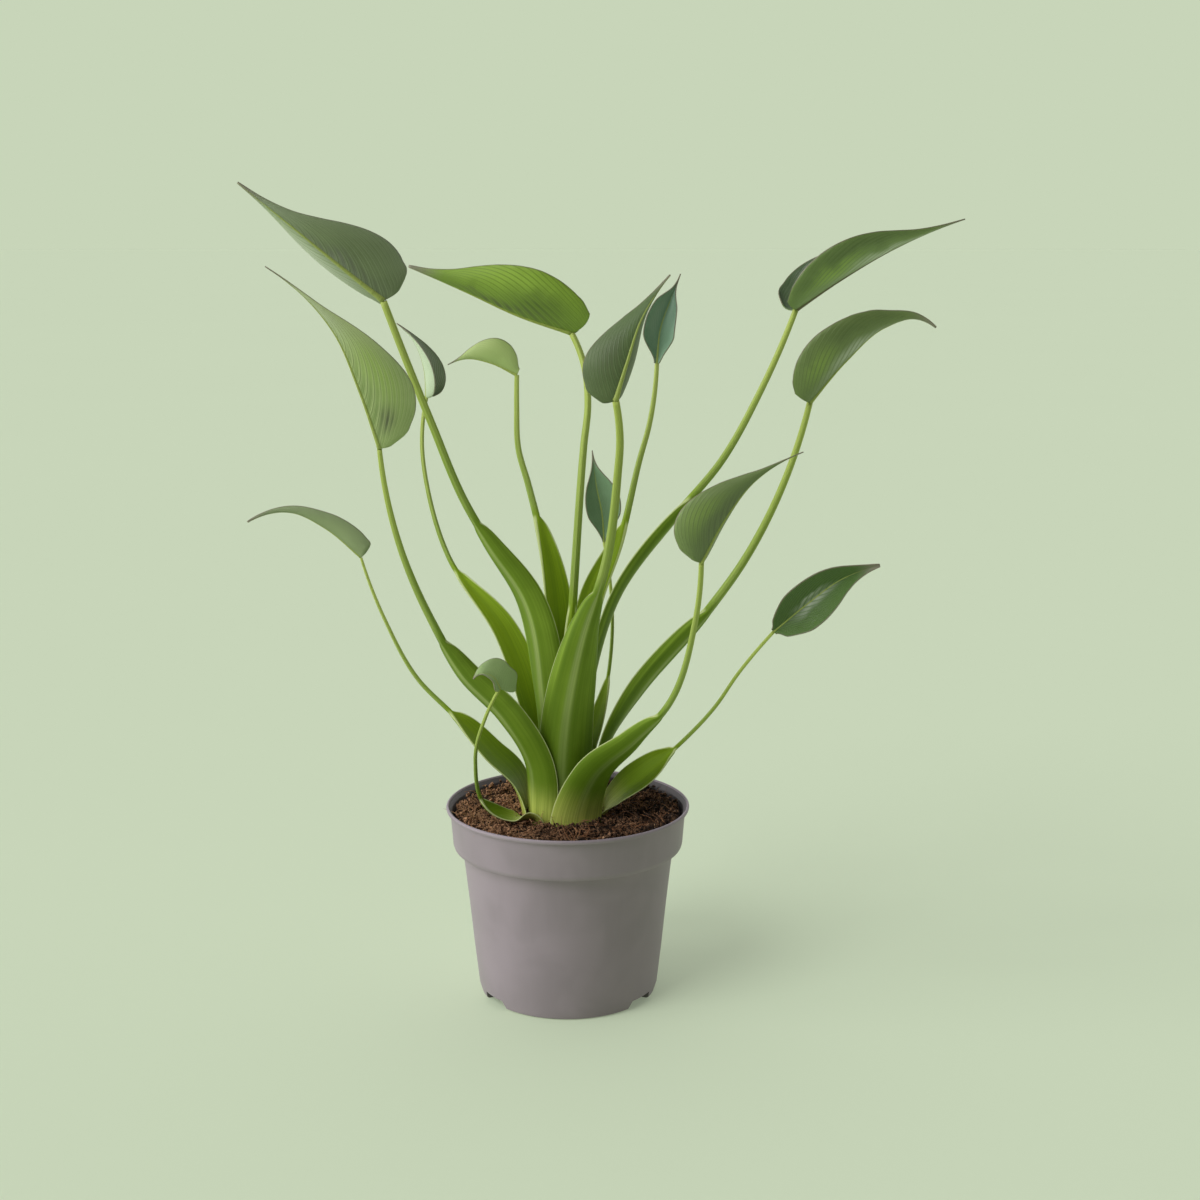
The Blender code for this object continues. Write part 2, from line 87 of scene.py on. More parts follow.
# %% Mesh helpers
def finished(name, bm, *skins, smooth=True, sharp=None, merge=True):
    """Turn a closed mesh drawn in millimetres into an object of that name."""
    if merge:
        bmesh.ops.remove_doubles(bm, verts=bm.verts, dist=0.001)
        bmesh.ops.recalc_face_normals(bm, faces=bm.faces)
    bmesh.ops.scale(bm, vec=(MM, MM, MM), verts=bm.verts)
    mesh = bpy.data.meshes.new(name)
    bm.to_mesh(mesh)
    bm.free()
    mesh.polygons.foreach_set("use_smooth", [smooth] * len(mesh.polygons))
    if sharp is not None:
        mesh.set_sharp_from_angle(angle=math.radians(sharp))
    for skin in skins:
        mesh.materials.append(skin)
    obj = bpy.data.objects.new(name, mesh)
    bpy.context.scene.collection.objects.link(obj)
    return obj


def kept(obj, slot, *nodes):
    """Let a piece ride on the plant and stand for CAD nodes; the slot is not used."""
    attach(obj, "root")
    if nodes:
        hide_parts(*nodes)
    print(obj.name, "faces", len(obj.data.polygons), "for", nodes)


def blend(a, b, share):
    return a + (b - a) * share


def ease_over(x, start, length):
    """0 up to the start, 1 from start plus length on, and a soft step in between."""
    share = min(1.0, max(0.0, (x - start) / length))
    return share * share * (3.0 - 2.0 * share)


# %% [markdown]
# ## Small helpers for materials
#
# A material is a tree of nodes. `add` puts one node in a tree and fills or links its inputs, so a
# material can be written as a few plain lines. `layered` lays masks of colour over a first colour,
# like glazes. Colours are written as the familiar 0-255 values of a screen and turned into the
# linear light that the shader works in.

# %% Material helpers
def srgb(red, green, blue):
    """Screen colour to linear colour, with full alpha."""
    found = []
    for value in (red, green, blue):
        c = value / 255.0
        found.append(c / 12.92 if c <= 0.04045 else ((c + 0.055) / 1.055) ** 2.4)
    return (*found, 1.0)


def add(tree, kind, inputs=None, out=0, **settings):
    """Add a node, set what it needs, link or fill its inputs, and return one of its outputs."""
    made = tree.nodes.new("ShaderNode" + kind)
    for name, value in settings.items():
        setattr(made, name, value)
    for key, value in (inputs or {}).items():
        if isinstance(value, bpy.types.NodeSocket):
            tree.links.new(value, made.inputs[key])
        else:
            made.inputs[key].default_value = value
    return made.outputs[out]


def calc(tree, operation, a, b=0.0, c=0.0):
    return add(tree, "Math", {0: a, 1: b, 2: c}, operation=operation)


def times(tree, a, b):
    return calc(tree, "MULTIPLY", a, b)


def mixed(tree, share, a, b, kind="MIX"):
    return add(tree, "Mix", {0: share, 6: a, 7: b}, out=2, data_type="RGBA", blend_type=kind)


def layered(tree, colour, *layers):
    """Lay (mask, strength, colour) layers over a colour, one after the other."""
    for mask, strength, tint in layers:
        colour = mixed(tree, times(tree, mask, strength), colour, tint)
    return colour


def ramp(tree, value, low, high):
    """0 at low, 1 at high, with a soft start and end."""
    return add(
        tree, "MapRange", {0: value, 1: low, 2: high}, interpolation_type="SMOOTHSTEP"
    )


def bump(tree, value, middle, reach):
    """1 where the value is at the middle, falling to 0 at its reach on both sides."""
    away = calc(tree, "ABSOLUTE", calc(tree, "SUBTRACT", value, middle))
    return ramp(tree, away, reach, 0.0)


def along_axis(tree, axis, at):
    """How far a place lies along an axis."""
    return add(tree, "VectorMath", {0: at, 1: axis}, out=1, operation="DOT_PRODUCT")


def attributes(tree, labels):
    return [add(tree, "Attribute", out=2, attribute_name=label) for label in labels]


def place(tree):
    """Where a point is on the object, in metres, in the CAD frame."""
    return add(tree, "TexCoord", out=3)


def new_material(name, roughness, **plain):
    """A material with its Principled shader, and values that are the same all over."""
    made = bpy.data.materials.new(name)
    made.use_nodes = True
    shader = made.node_tree.nodes["Principled BSDF"]
    shader.inputs["Roughness"].default_value = roughness
    for label, value in plain.items():
        shader.inputs[label.replace("_", " ")].default_value = value
    return made, made.node_tree, shader.inputs


def linked(tree, shader, colour, height, strength, distance):
    """Give the shader its colour and a bump of that strength and depth in metres."""
    tree.links.new(colour, shader["Base Color"])
    normal = add(tree, "Bump", {"Height": height, "Strength": strength, "Distance": distance})
    tree.links.new(normal, shader["Normal"])


def effect(name, inputs, outputs):
    """A group of nodes that several materials use, with named sockets."""
    tree = bpy.data.node_groups.new(name, "ShaderNodeTree")
    for label, kind, value in inputs:
        socket = tree.interface.new_socket(
            label, in_out="INPUT", socket_type="NodeSocket" + kind
        )
        if value is not None:
            socket.default_value = value
    for label in outputs:
        tree.interface.new_socket(label, in_out="OUTPUT", socket_type="NodeSocketFloat")
    start, end = tree.nodes.new("NodeGroupInput"), tree.nodes.new("NodeGroupOutput")
    return tree, start.outputs, end.inputs


def use(tree, group, inputs, out):
    """Place a group in a material and return one of its outputs."""
    return add(tree, "Group", inputs, out, node_tree=group)


# %% [markdown]
# ## Effects that several finishes share
#
# *Grain* is a fine unevenness: the mould texture of plastic and the skin of a leaf both have it.
# *Patches* are large soft differences in tone. Both read a place in metres, so their size stays
# the same on a small and a large piece. They put out one number, and the material decides whether
# it becomes colour, roughness or bump.

# %% Shared effects
grain, given, result = effect(
    "grain", [("Place", "Vector", None), ("Size mm", "Float", 0.5)], ["Height"]
)
fineness = calc(grain, "DIVIDE", 1000.0, given["Size mm"])
coarse = add(grain, "TexNoise", {"Vector": given["Place"], "Scale": fineness, "Detail": 3.0})
grain.links.new(coarse, result["Height"])

patches, given, result = effect(
    "patches", [("Place", "Vector", None), ("Size mm", "Float", 20.0)], ["Mask"]
)
fineness = calc(patches, "DIVIDE", 1000.0, given["Size mm"])
drawn = {"Vector": given["Place"], "Scale": fineness, "Detail": 2.0, "Distortion": 0.4}
cloud = add(patches, "TexNoise", drawn)
patches.links.new(ramp(patches, cloud, 0.32, 0.68), result["Mask"])
print("shared effects", grain.name, patches.name)


def grained(tree, size):
    """Height of grains of that size in millimetres."""
    return use(tree, grain, {"Place": place(tree), "Size mm": size}, "Height")


def patchy(tree, size):
    """Mask of soft patches of that size in millimetres."""
    return use(tree, patches, {"Place": place(tree), "Size mm": size}, "Mask")


# %% [markdown]
# ## Studio
#
# The photograph has a plain sage backdrop without a horizon and a faint shadow behind the pot on
# the right. A curved sheet would do, but its bend shades differently from its floor. So the floor
# is a large plane, and the world behind it shows the very colour that the floor has in this light.
# Rays that only carry light see a soft dome, brighter behind the plant. A wide sun from the front
# left, halfway up, throws the shadow, and its width makes the shadow's edge soft. A second one,
# low on the left, is the window: it hardly reaches the floor, but it models the pot's side. The
# floor also has a painted glow, a little emission in the backdrop's colour, which keeps the shadow
# pale.

# %% Studio
BACKDROP = srgb(200, 213, 185)
FLOOR_TINT = (0.489, 0.563, 0.411, 1.0)
FLOOR_PAINTED_GLOW = 0.3  # share of the sheet's brightness that does not come from the lights
DOME_LEVEL = 0.655
DOME_SLOPE = (-0.12, 0.5, -0.3)  # how the dome's brightness changes with direction
# name, direction towards it, strength and width in degrees
SUNS = (
    ("soft_key", (-0.5, -0.5, 0.707), 1.33, 30.0),
    ("low_window", (-0.983, -0.171, 0.06), 2.35, 36.0),
)

bm = bmesh.new()
bmesh.ops.create_circle(bm, cap_ends=True, segments=64, radius=60000.0)
floor = finished("studio_floor", bm, smooth=False)
if floor.data.polygons[0].normal.z < 0:
    floor.data.flip_normals()
# the floor's paint has a painted glow on top of its lit colour
floor_paint, tree, shader = new_material(
    "floor_paint", 0.9, Specular_IOR_Level=0.0, Emission_Color=BACKDROP,
    Emission_Strength=FLOOR_PAINTED_GLOW,
)
dark = tuple(c * 0.995 for c in FLOOR_TINT[:3]) + (1.0,)
tree.links.new(mixed(tree, patchy(tree, 900.0), dark, FLOOR_TINT), shader["Base Color"])
floor.data.materials.append(floor_paint)

world = bpy.data.worlds.new("studio_world")
bpy.context.scene.world = world
world.use_nodes = True
tree = world.node_tree
tree.nodes.clear()
seen = add(tree, "Background", {"Color": BACKDROP, "Strength": 1.0})
facing = along_axis(tree, DOME_SLOPE, add(tree, "TexCoord", out=0))
level = calc(tree, "MAXIMUM", calc(tree, "ADD", facing, DOME_LEVEL), 0.0)
fill = add(tree, "Background", {"Color": (1.0, 1.0, 1.0, 1.0), "Strength": level})
shown = add(tree, "MixShader", {0: add(tree, "LightPath"), 1: fill, 2: seen})
tree.links.new(shown, tree.nodes.new("ShaderNodeOutputWorld").inputs["Surface"])

for name, towards, strength, width in SUNS:
    sun_data = bpy.data.lights.new(name, "SUN")
    sun_data.energy = strength
    sun_data.angle = math.radians(width)
    sun = bpy.data.objects.new(name, sun_data)
    sun.rotation_euler = Vector(towards).to_track_quat("Z", "Y").to_euler()
    bpy.context.scene.collection.objects.link(sun)
bpy.context.scene.view_settings.view_transform = "Standard"
print("lights", [name for name, *rest in SUNS])

# %% [markdown]
# ## The pot
#
# A nursery pot is blown or moulded from thin plastic. Its wall tapers, a wide band stiffens the
# top, and the lip is a thin rolled edge. Half of its profile is drawn as a line of (radius,
# height) points, inside and outside in one loop, and spun about the upright axis. A lathe shape
# like this could also be a stack of cylinders, but one spun line keeps the wall one closed solid.
# The ring edges of the lip, the band and the shoulder are then bevelled so that they catch light.
# Floors are raised over the foot's four notches, and notches and drain holes are cut through.

# %% Pot measures
FLOOR = 1.6
# (radius, height, bevel) of the corners of the wall, up the outside
POT_OUTSIDE = (
    (42.2, 0.0, 0), (43.5, 0.8, 0), (44.7, 4.6, 0), (47.1, 26.0, 0), (49.2, 47.0, 0),
    (51.3, 66.0, 1.6), (52.4, 74.0, 0.4), (56.3, 75.2, 0.35), (56.9, 77.0, 0.45),
    (58.2, 93.6, 0.3), (60.0, 94.2, 0.2), (60.2, 95.3, 0.25), (59.7, 96.0, 0.2),
)
# and down the inside
POT_INSIDE = (
    (59.1, 96.0, 0.2), (58.7, 95.1, 0.2), (57.2, 93.2, 0.3), (55.5, 77.6, 0.6),
    (51.0, 75.9, 0.6), (50.0, 66.4, 1.0), (48.0, 47.0, 0), (45.9, 26.0, 0), (42.8, 4.0, 0),
    (40.8, FLOOR, 0),
)
POT_SEGMENTS = 144
INSIDE_TOP = 95.4  # the painted shade of the inside ends at this height
NOTCH_BEARINGS = (-145.0, -35.0, 35.0, 145.0)
NOTCH_HALF_ANGLE = 13.5
NOTCH_HEIGHT = 4.6
NOTCH_INNER_RADIUS = 33.0
NOTCH_LEAN = 3.4  # how far a notch's sides lean in over its height
RECESS_RADIUS = 42.5  # what lies under the pot within it gets the painted shade
STEP_SIDE = 2.2  # degrees of raised floor on each side of a notch
# (radius, height) section of the raised floor over a notch, inside the wall all the way
STEP_SECTION = ((31.5, 0.4), (41.2, 0.4), (42.9, 2.6), (43.4, 6.1), (31.5, 6.1))
STEP_PARTS = 10
CUT_RADIUS = 50.0
DRAIN_RADIUS = 2.4
DRAIN_AT = 38.5
DRAIN_DEPTH = 12.0
DRAIN_SEGMENTS = 24
POT_SHARP = 35.0  # edges that turn by more degrees stay sharp

# %% Turning and cutting
def turned(profile, segments):
    """A solid turned about Z from (radius, height) points that run from axis to axis."""
    bm = bmesh.new()
    verts = [bm.verts.new((r, 0.0, z)) for r, z in profile]
    edges = [bm.edges.new(pair) for pair in zip(verts, verts[1:])]
    bmesh.ops.spin(
        bm, geom=verts + edges, cent=(0, 0, 0), axis=(0, 0, 1), angle=2 * math.pi,
        steps=segments, use_merge=True,
    )
    bmesh.ops.remove_doubles(bm, verts=bm.verts, dist=0.01)
    return bm


def round_ring(bm, radius, height, offset):
    """Bevel the ring edge of a turned shape at that radius and height."""
    def on_ring(v):
        return abs(v.co.z - height) < 0.02 and abs(v.co.xy.length - radius) < 0.05

    ring = [e for e in bm.edges if all(on_ring(v) for v in e.verts)]
    bmesh.ops.bevel(
        bm, geom=ring, offset=offset, affect="EDGES", segments=3, profile=0.5, material=-1
    )


def toward(bearing):
    """Level direction at a bearing in degrees: 0 = +X, -90 = the front."""
    turn = math.radians(bearing)
    return Vector((math.cos(turn), math.sin(turn), 0.0))


def notch(bearing):
    """The block cut out of the foot: it widens with radius, and its sides lean in."""
    bm = bmesh.new()
    bmesh.ops.create_cube(bm, size=2.0)
    along = toward(bearing)
    side = Vector((-along.y, along.x, 0.0))
    for v in bm.verts:
        radius = CUT_RADIUS if v.co.x > 0 else NOTCH_INNER_RADIUS
        height, lean = (NOTCH_HEIGHT, NOTCH_LEAN) if v.co.z > 0 else (-FLOOR, 0.0)
        half = radius * math.tan(math.radians(NOTCH_HALF_ANGLE)) - lean
        v.co = along * radius + side * (half * v.co.y) + Vector((0, 0, height))
    return bm


def raised_floor(bearing):
    """The floor's section over a notch, turned through a little more than the notch."""
    half_angle = math.radians(NOTCH_HALF_ANGLE + STEP_SIDE)
    bm = bmesh.new()
    face = bm.faces.new([bm.verts.new((r, 0.0, z)) for r, z in STEP_SECTION])
    start = Matrix.Rotation(math.radians(bearing) - half_angle, 3, "Z")
    bmesh.ops.rotate(bm, verts=bm.verts, cent=(0, 0, 0), matrix=start)
    bmesh.ops.spin(
        bm, geom=[*bm.verts, *bm.edges, face], cent=(0, 0, 0), axis=(0, 0, 1),
        angle=2 * half_angle, steps=STEP_PARTS,
    )
    return bm


def drum(bm, centre, radius, depth, segments):
    """Add a round upright block about a centre, and return its corners."""
    made = bmesh.ops.create_cone(
        bm, cap_ends=True, segments=segments, radius1=radius, radius2=radius, depth=depth
    )["verts"]
    bmesh.ops.translate(bm, vec=centre, verts=made)
    return made


def applied(obj):
    """Keep the result of the modifiers in the mesh."""
    seen = obj.evaluated_get(bpy.context.evaluated_depsgraph_get())
    ready = bpy.data.meshes.new_from_object(seen)
    obj.modifiers.clear()
    obj.data = ready
    obj.data.name = obj.name


def cut(obj, tools):
    """Join or take away the tools, keep the result in the mesh and remove the tools."""
    for operation, bm in tools:
        tool = finished("tool", bm, smooth=False)
        step = obj.modifiers.new("cut", "BOOLEAN")
        step.operation = operation
        step.solver = "EXACT"
        step.object = tool
        applied(obj)
        bpy.data.objects.remove(tool, do_unlink=True)


# %% [markdown]
# ## The pot's plastic
#
# Matte taupe-grey plastic. Its mould leaves a fine even grain and faint upright flow marks, and
# handling leaves slight differences in gloss. Nearly all of it is bump and roughness: the colour
# itself hardly changes. The same plastic in a darker tone is painted shade, on the inside and
# under the pot in the notches' recesses.

# %% Pot plastic
def pot_plastic(name, dark, light):
    made, tree, shader = new_material(name, 0.5, Specular_IOR_Level=0.42)
    tone = patchy(tree, 26.0)
    drawn = add(tree, "Mapping", {"Vector": place(tree), "Scale": (1.0, 1.0, 0.08)})
    flow = use(tree, patches, {"Place": drawn, "Size mm": 5.0}, "Mask")
    colour = layered(tree, mixed(tree, tone, dark, light), (flow, 0.2, light))
    tree.links.new(calc(tree, "MULTIPLY_ADD", tone, 0.08, 0.46), shader["Roughness"])
    linked(tree, shader, colour, grained(tree, 0.55), 0.25, 0.0001)
    return made


# %% Pot
corners = POT_OUTSIDE + POT_INSIDE
bm = turned([(0.0, 0.0), *(corner[:2] for corner in corners), (0.0, FLOOR)], POT_SEGMENTS)
for radius, height, offset in corners:
    if offset:
        round_ring(bm, radius, height, offset)
pot = finished("nursery_pot", bm)
cuts = [("UNION", raised_floor(bearing)) for bearing in NOTCH_BEARINGS]
for bearing in NOTCH_BEARINGS:
    hole = bmesh.new()
    middle = toward(bearing) * DRAIN_AT + Vector((0, 0, NOTCH_HEIGHT))
    drum(hole, middle, DRAIN_RADIUS, DRAIN_DEPTH, DRAIN_SEGMENTS)
    cuts += [("DIFFERENCE", notch(bearing)), ("DIFFERENCE", hole)]
cut(pot, cuts)
pot.data.materials.clear()
pot.data.materials.append(pot_plastic("pot_outside", srgb(140, 129, 136), srgb(149, 137, 145)))
# a darker copy of the plastic: painted shade
pot.data.materials.append(pot_plastic("pot_painted_shade", srgb(80, 75, 77), srgb(92, 86, 88)))
# the inside and the recess under the pot get the painted shade
for face in pot.data.polygons:
    radius, height = face.center.xy.length / MM, face.center.z / MM
    inner = face.normal.xy.dot(face.center.xy) < 0 and height < INSIDE_TOP
    under = height < NOTCH_HEIGHT + FLOOR / 2 and radius < RECESS_RADIUS
    face.material_index = 1 if inner or under else 0
pot.data.polygons.foreach_set("use_smooth", [True] * len(pot.data.polygons))
pot.data.set_sharp_from_angle(angle=math.radians(POT_SHARP))
kept(pot, "pot_plastic", "pot")

# %% [markdown]
# ## The soil
#
# The pot is filled with peat and coir. Under its loose top it is one body, so that part is turned
# like the pot, with an inner pocket for the corm, and its top is moved up and down by noise. The
# top of the real soil is thousands of crumbs from half a millimetre to four, so a few plain
# shapes are made once and placed again and again, each turned and sized by a seeded draw.

# %% Soil measures
GAP = 0.3  # air between the pot, the soil and the corm
CROWN = (0.0, 4.0)  # middle of the crown, from above
CORM_TOP = 80.0
CORM_RADIUS = 24.6
HOLE_RADIUS = 26.0
HOLE_FLOOR = 56.0
SOIL_TOP = 88.5
SOIL_BOTTOM = 6.4  # just over the raised floors
SOIL_EDGE = 56.4  # radius of the soil's top
SOIL_RING = 1.1  # width of the rings that the top is made of
SOIL_RINGS = 50
SOIL_SEGMENTS = 120
HOLE_SEGMENTS = 48
SWELL_AT = (14.0, -26.0)
SWELL_HEIGHT = 2.0
SWELL_AREA = 420.0
BANK_HEIGHT = 3.4
BANK_START = 42.0
BANK_WIDTH = 10.0
SOIL_WAVES = ((0.0, 0.16, 1.8), (9.0, 0.45, 1.1))  # layer of the noise, waves per mm, height
FINE_WAVES = (0.9, 0.5)  # waves per mm, height


def soil_height(x, y):
    """Height of the soil, banked up at the wall, with a swelling by the crown."""
    away = (x - SWELL_AT[0]) ** 2 + (y - SWELL_AT[1]) ** 2
    height = SOIL_TOP + SWELL_HEIGHT * math.exp(-away / SWELL_AREA)
    height += BANK_HEIGHT * ease_over(math.hypot(x, y), BANK_START, BANK_WIDTH)
    for layer, often, high in SOIL_WAVES:
        height += noise.noise(Vector((x, y, layer)) * often) * high
    return height


# %% Soil finish
def soil_skin(name, dark, light, size, rough=0.95):
    """Brown that changes from crumb to crumb, and darker towards the front and the right."""
    made, tree, shader = new_material(name, rough, Specular_IOR_Level=0.2)
    darker_front_right = ramp(tree, along_axis(tree, (1.0, -0.5, 0.0), place(tree)), -0.025, 0.03)
    wide = times(tree, patchy(tree, size * 7), 0.4)
    colour = mixed(tree, patchy(tree, size), dark, light)
    colour = mixed(tree, calc(tree, "MULTIPLY_ADD", darker_front_right, 0.6, wide), colour, dark)
    linked(tree, shader, colour, grained(tree, 0.4), 0.9, 0.0004)
    return made


# %% Soil body
inset = GAP * 1.5
wall = [(r - inset, z + GAP) for r, z, bevel in reversed(POT_INSIDE[3:-1])]
profile = [(0.0, SOIL_BOTTOM), (wall[0][0], SOIL_BOTTOM), *wall[1:], (SOIL_EDGE, SOIL_TOP - 0.4)]
profile += [(SOIL_EDGE - SOIL_RING * (k + 1), SOIL_TOP) for k in range(SOIL_RINGS)]
bm = turned(profile + [(0.0, SOIL_TOP)], SOIL_SEGMENTS)
for v in bm.verts:
    if v.co.z > SOIL_TOP - 0.01:
        fine = noise.noise(v.co * FINE_WAVES[0]) * FINE_WAVES[1]
        v.co.z = soil_height(v.co.x, v.co.y) + fine
bmesh.ops.recalc_face_normals(bm, faces=bm.faces)
depth = CORM_TOP + 1.0 - HOLE_FLOOR
pocket = drum(bm, (*CROWN, HOLE_FLOOR + depth / 2), HOLE_RADIUS, depth, HOLE_SEGMENTS)
bmesh.ops.reverse_faces(bm, faces=list({f for v in pocket for f in v.link_faces}))
peat = soil_skin("damp_peat", srgb(30, 21, 15), srgb(92, 66, 48), 1.6)
kept(finished("soil_filling", bm, peat, merge=False), "soil_mix", "soil")

# %% Small shapes
STRAND_RADIUS = 0.16
STRAND_STEPS = 6
STRAND_STEP = 1.7
FIBRE_COUNT = 640
UPRIGHT_SHARE = 0.05
TUFTS = ((-47.5, -3.0), (-45.0, -8.0), (46.5, -8.0), (8.0, -36.0), (4.0, -44.0))
TUFT_COUNT = 12
TUFT_THICK = 2.0
# how far from the soil's edge crumbs, the far ends of fibres and upright fibres stay
CRUMB_ROOM = 1.2
FIBRE_ROOM = 2.5
UPRIGHT_ROOM = 11.0
FIBRE_END = (0.0, 0.0, 11.0)
TUFT_END = (4.0, 4.0, 11.0)


def crumb(seed):
    """One angular crumb about a millimetre across."""
    draw = random.Random(seed)
    bm = bmesh.new()
    bmesh.ops.create_icosphere(bm, subdivisions=1, radius=0.5)
    for v in bm.verts:
        v.co *= draw.uniform(0.72, 1.25)
    flat = (1.0, draw.uniform(0.35, 0.9), draw.uniform(0.3, 0.7))
    bmesh.ops.scale(bm, vec=flat, verts=bm.verts)
    return bm


def strand(seed):
    """One bent fibre, ten millimetres long: a small square drawn out in steps."""
    draw = random.Random(seed)
    bm = bmesh.new()
    bmesh.ops.create_circle(bm, cap_ends=True, segments=4, radius=STRAND_RADIUS)
    end = bm.faces[:]
    heading = Vector((0, 0, 1))
    for step in range(STRAND_STEPS):
        grown = bmesh.ops.extrude_face_region(bm, geom=end)["geom"]
        tip = [v for v in grown if isinstance(v, bmesh.types.BMVert)]
        end = [f for f in grown if isinstance(f, bmesh.types.BMFace)]
        bend = Vector((draw.uniform(-0.5, 0.5), draw.uniform(-0.5, 0.5), 0.0))
        heading = (heading + bend).normalized()
        bmesh.ops.translate(bm, vec=heading * STRAND_STEP, verts=tip)
        middle = sum((v.co for v in tip), Vector()) / len(tip)
        thin = 0.45 if step == STRAND_STEPS - 1 else 0.93
        bmesh.ops.scale(
            bm, vec=(thin, thin, thin), verts=tip, space=Matrix.Translation(-middle)
        )
    bmesh.ops.recalc_face_normals(bm, faces=bm.faces)
    return bm


def strewn(name, shapes, placings, skin):
    """Copy the small shapes to their places in one mesh, which lies on the soil."""
    moulds = []
    for bm in shapes:
        moulds.append(bpy.data.meshes.new("mould"))
        bm.to_mesh(moulds[-1])
        bm.free()
    heap = bmesh.new()
    for which, matrix in placings:
        one = moulds[which % len(moulds)].copy()
        one.transform(matrix)
        heap.from_mesh(one)
        bpy.data.meshes.remove(one)
    for mesh in moulds:
        bpy.data.meshes.remove(mesh)
    kept(finished(name, heap, skin, smooth=False, merge=False), "soil_mix")


def on_soil(draw, lift):
    """A point on the soil, spread evenly over its disc."""
    r = (SOIL_EDGE - CRUMB_ROOM) * math.sqrt(draw.random())
    a = draw.uniform(0, 2 * math.pi)
    x, y = r * math.cos(a), r * math.sin(a)
    return Vector((x, y, soil_height(x, y) + lift))


def turned_by(draw, at, size, tilt):
    """Matrix that sizes, tilts, turns and places a small shape."""
    lean = Matrix.Rotation(tilt, 4, "Y")
    turn = Matrix.Rotation(draw.uniform(0, 2 * math.pi), 4, "Z")
    return Matrix.Translation(at) @ turn @ lean @ Matrix.Diagonal((*size, 1.0))


def crumb_places(seed, count, small, large, power):
    """Places for crumbs, most of them small."""
    draw = random.Random(seed)
    found = []
    for k in range(count):
        size = small + (large - small) * draw.random() ** power
        at = on_soil(draw, draw.uniform(-0.6, 1.4) + 0.22 * size)
        found.append((k, turned_by(draw, at, (size, size, size), draw.uniform(0, 3.1))))
    return found


# %% Crumbs and bark
strewn(
    "soil_crumbs", [crumb(s) for s in range(9)],
    crumb_places(seed=7, count=7000, small=0.55, large=3.9, power=3.6),
    soil_skin("crumb_brown", srgb(26, 17, 12), srgb(226, 172, 130), 0.9),
)
strewn(
    "bark_specks", [crumb(s) for s in range(20, 24)],
    crumb_places(seed=11, count=170, small=0.5, large=2.0, power=1.6),
    soil_skin("speck_tan", srgb(180, 140, 104), srgb(232, 208, 180), 1.2),
)

# %% Coir
draw = random.Random(13)
placings = []
while len(placings) < FIBRE_COUNT:
    size = draw.uniform(0.35, 1.1)
    upright = draw.random() < UPRIGHT_SHARE
    at = on_soil(draw, 0.7 if upright else draw.uniform(0.9, 1.9))
    tilt = draw.uniform(0.3, 1.0) if upright else draw.uniform(1.3, 1.72)
    thick = draw.uniform(0.6, 1.5)
    matrix = turned_by(draw, at, (thick, thick, size), tilt)
    by_wall = upright and at.xy.length > SOIL_EDGE - UPRIGHT_ROOM
    if not by_wall and (matrix @ Vector(FIBRE_END)).xy.length < SOIL_EDGE - FIBRE_ROOM:
        placings.append((len(placings), matrix))
# tufts that stand up at the wall on the left and right, and two in front of the crown
for x, y in TUFTS:
    for k in range(TUFT_COUNT):
        spread = Vector((draw.uniform(-1.3, 1.3), draw.uniform(-1.3, 1.3), 0.0))
        at = Vector((x, y, soil_height(x, y))) + spread
        size = draw.uniform(0.3, 0.6)
        matrix = turned_by(draw, at, (TUFT_THICK, TUFT_THICK, size), draw.uniform(0.0, 0.3))
        if (matrix @ Vector(TUFT_END)).xy.length < SOIL_EDGE:
            placings.append((k, matrix))
strewn(
    "coir_fibres", [strand(s) for s in range(8)], placings,
    soil_skin("coir_fibre", srgb(124, 84, 56), srgb(214, 168, 126), 3.0, 0.8),
)

# %% [markdown]
# ## The corm
#
# Under the soil the stalks grow from a short thick stem, ringed by the scars of old leaves. It is
# turned like the pot, and rings of its side are pushed in a little for the scars.

# %% Corm
def corm_skin():
    made, tree, shader = new_material("corm_skin", 0.8)
    bands = add(
        tree, "TexWave", {"Vector": place(tree), "Scale": 60.0, "Distortion": 2.0}, out=1,
        bands_direction="Z",
    )
    colour = mixed(tree, patchy(tree, 4.0), srgb(106, 74, 48), srgb(164, 128, 88))
    colour = layered(tree, colour, (bands, 0.4, srgb(76, 52, 34)))
    linked(tree, shader, colour, grained(tree, 1.4), 0.8, 0.0006)
    return made


SCARS = 6
CORM_SEGMENTS = 72
CORM_SHARP = 50.0
bottom = HOLE_FLOOR + GAP
profile = [(0.0, bottom), (CORM_RADIUS * 0.5, bottom), (CORM_RADIUS * 0.78, bottom + 3.5)]
for k in range(SCARS):
    z = blend(bottom + 8.0, CORM_TOP - 2.0, k / (SCARS - 1))
    profile += [(CORM_RADIUS * 0.97, z - 1.2), (CORM_RADIUS, z)]
profile += [(CORM_RADIUS, CORM_TOP), (0.0, CORM_TOP)]
bm = turned(profile, CORM_SEGMENTS)
bmesh.ops.translate(bm, vec=(*CROWN, 0.0), verts=bm.verts)
kept(finished("starter_corm", bm, corm_skin(), sharp=CORM_SHARP), "corm_skin", "corm")

# %% [markdown]
# ## Where the leaves run
#
# Each leaf has a stalk and a blade. A stalk starts as an open, channel-shaped sheath and ends as
# a round rod. Below are the same measures as in the CAD source, so that each finished leaf lies in
# its solids. `smooth_line` draws one curve through a few points and `point_at` reads it.

# %% Blade outline
# share of the full half-width at shares of the midrib's length
BLADE_OUTLINE = (
    (0.0, 0.38), (0.03, 0.66), (0.07, 0.82), (0.14, 0.95), (0.24, 1.0), (0.36, 0.93),
    (0.48, 0.76), (0.6, 0.52), (0.72, 0.29), (0.86, 0.12), (1.0, 0.03),
)

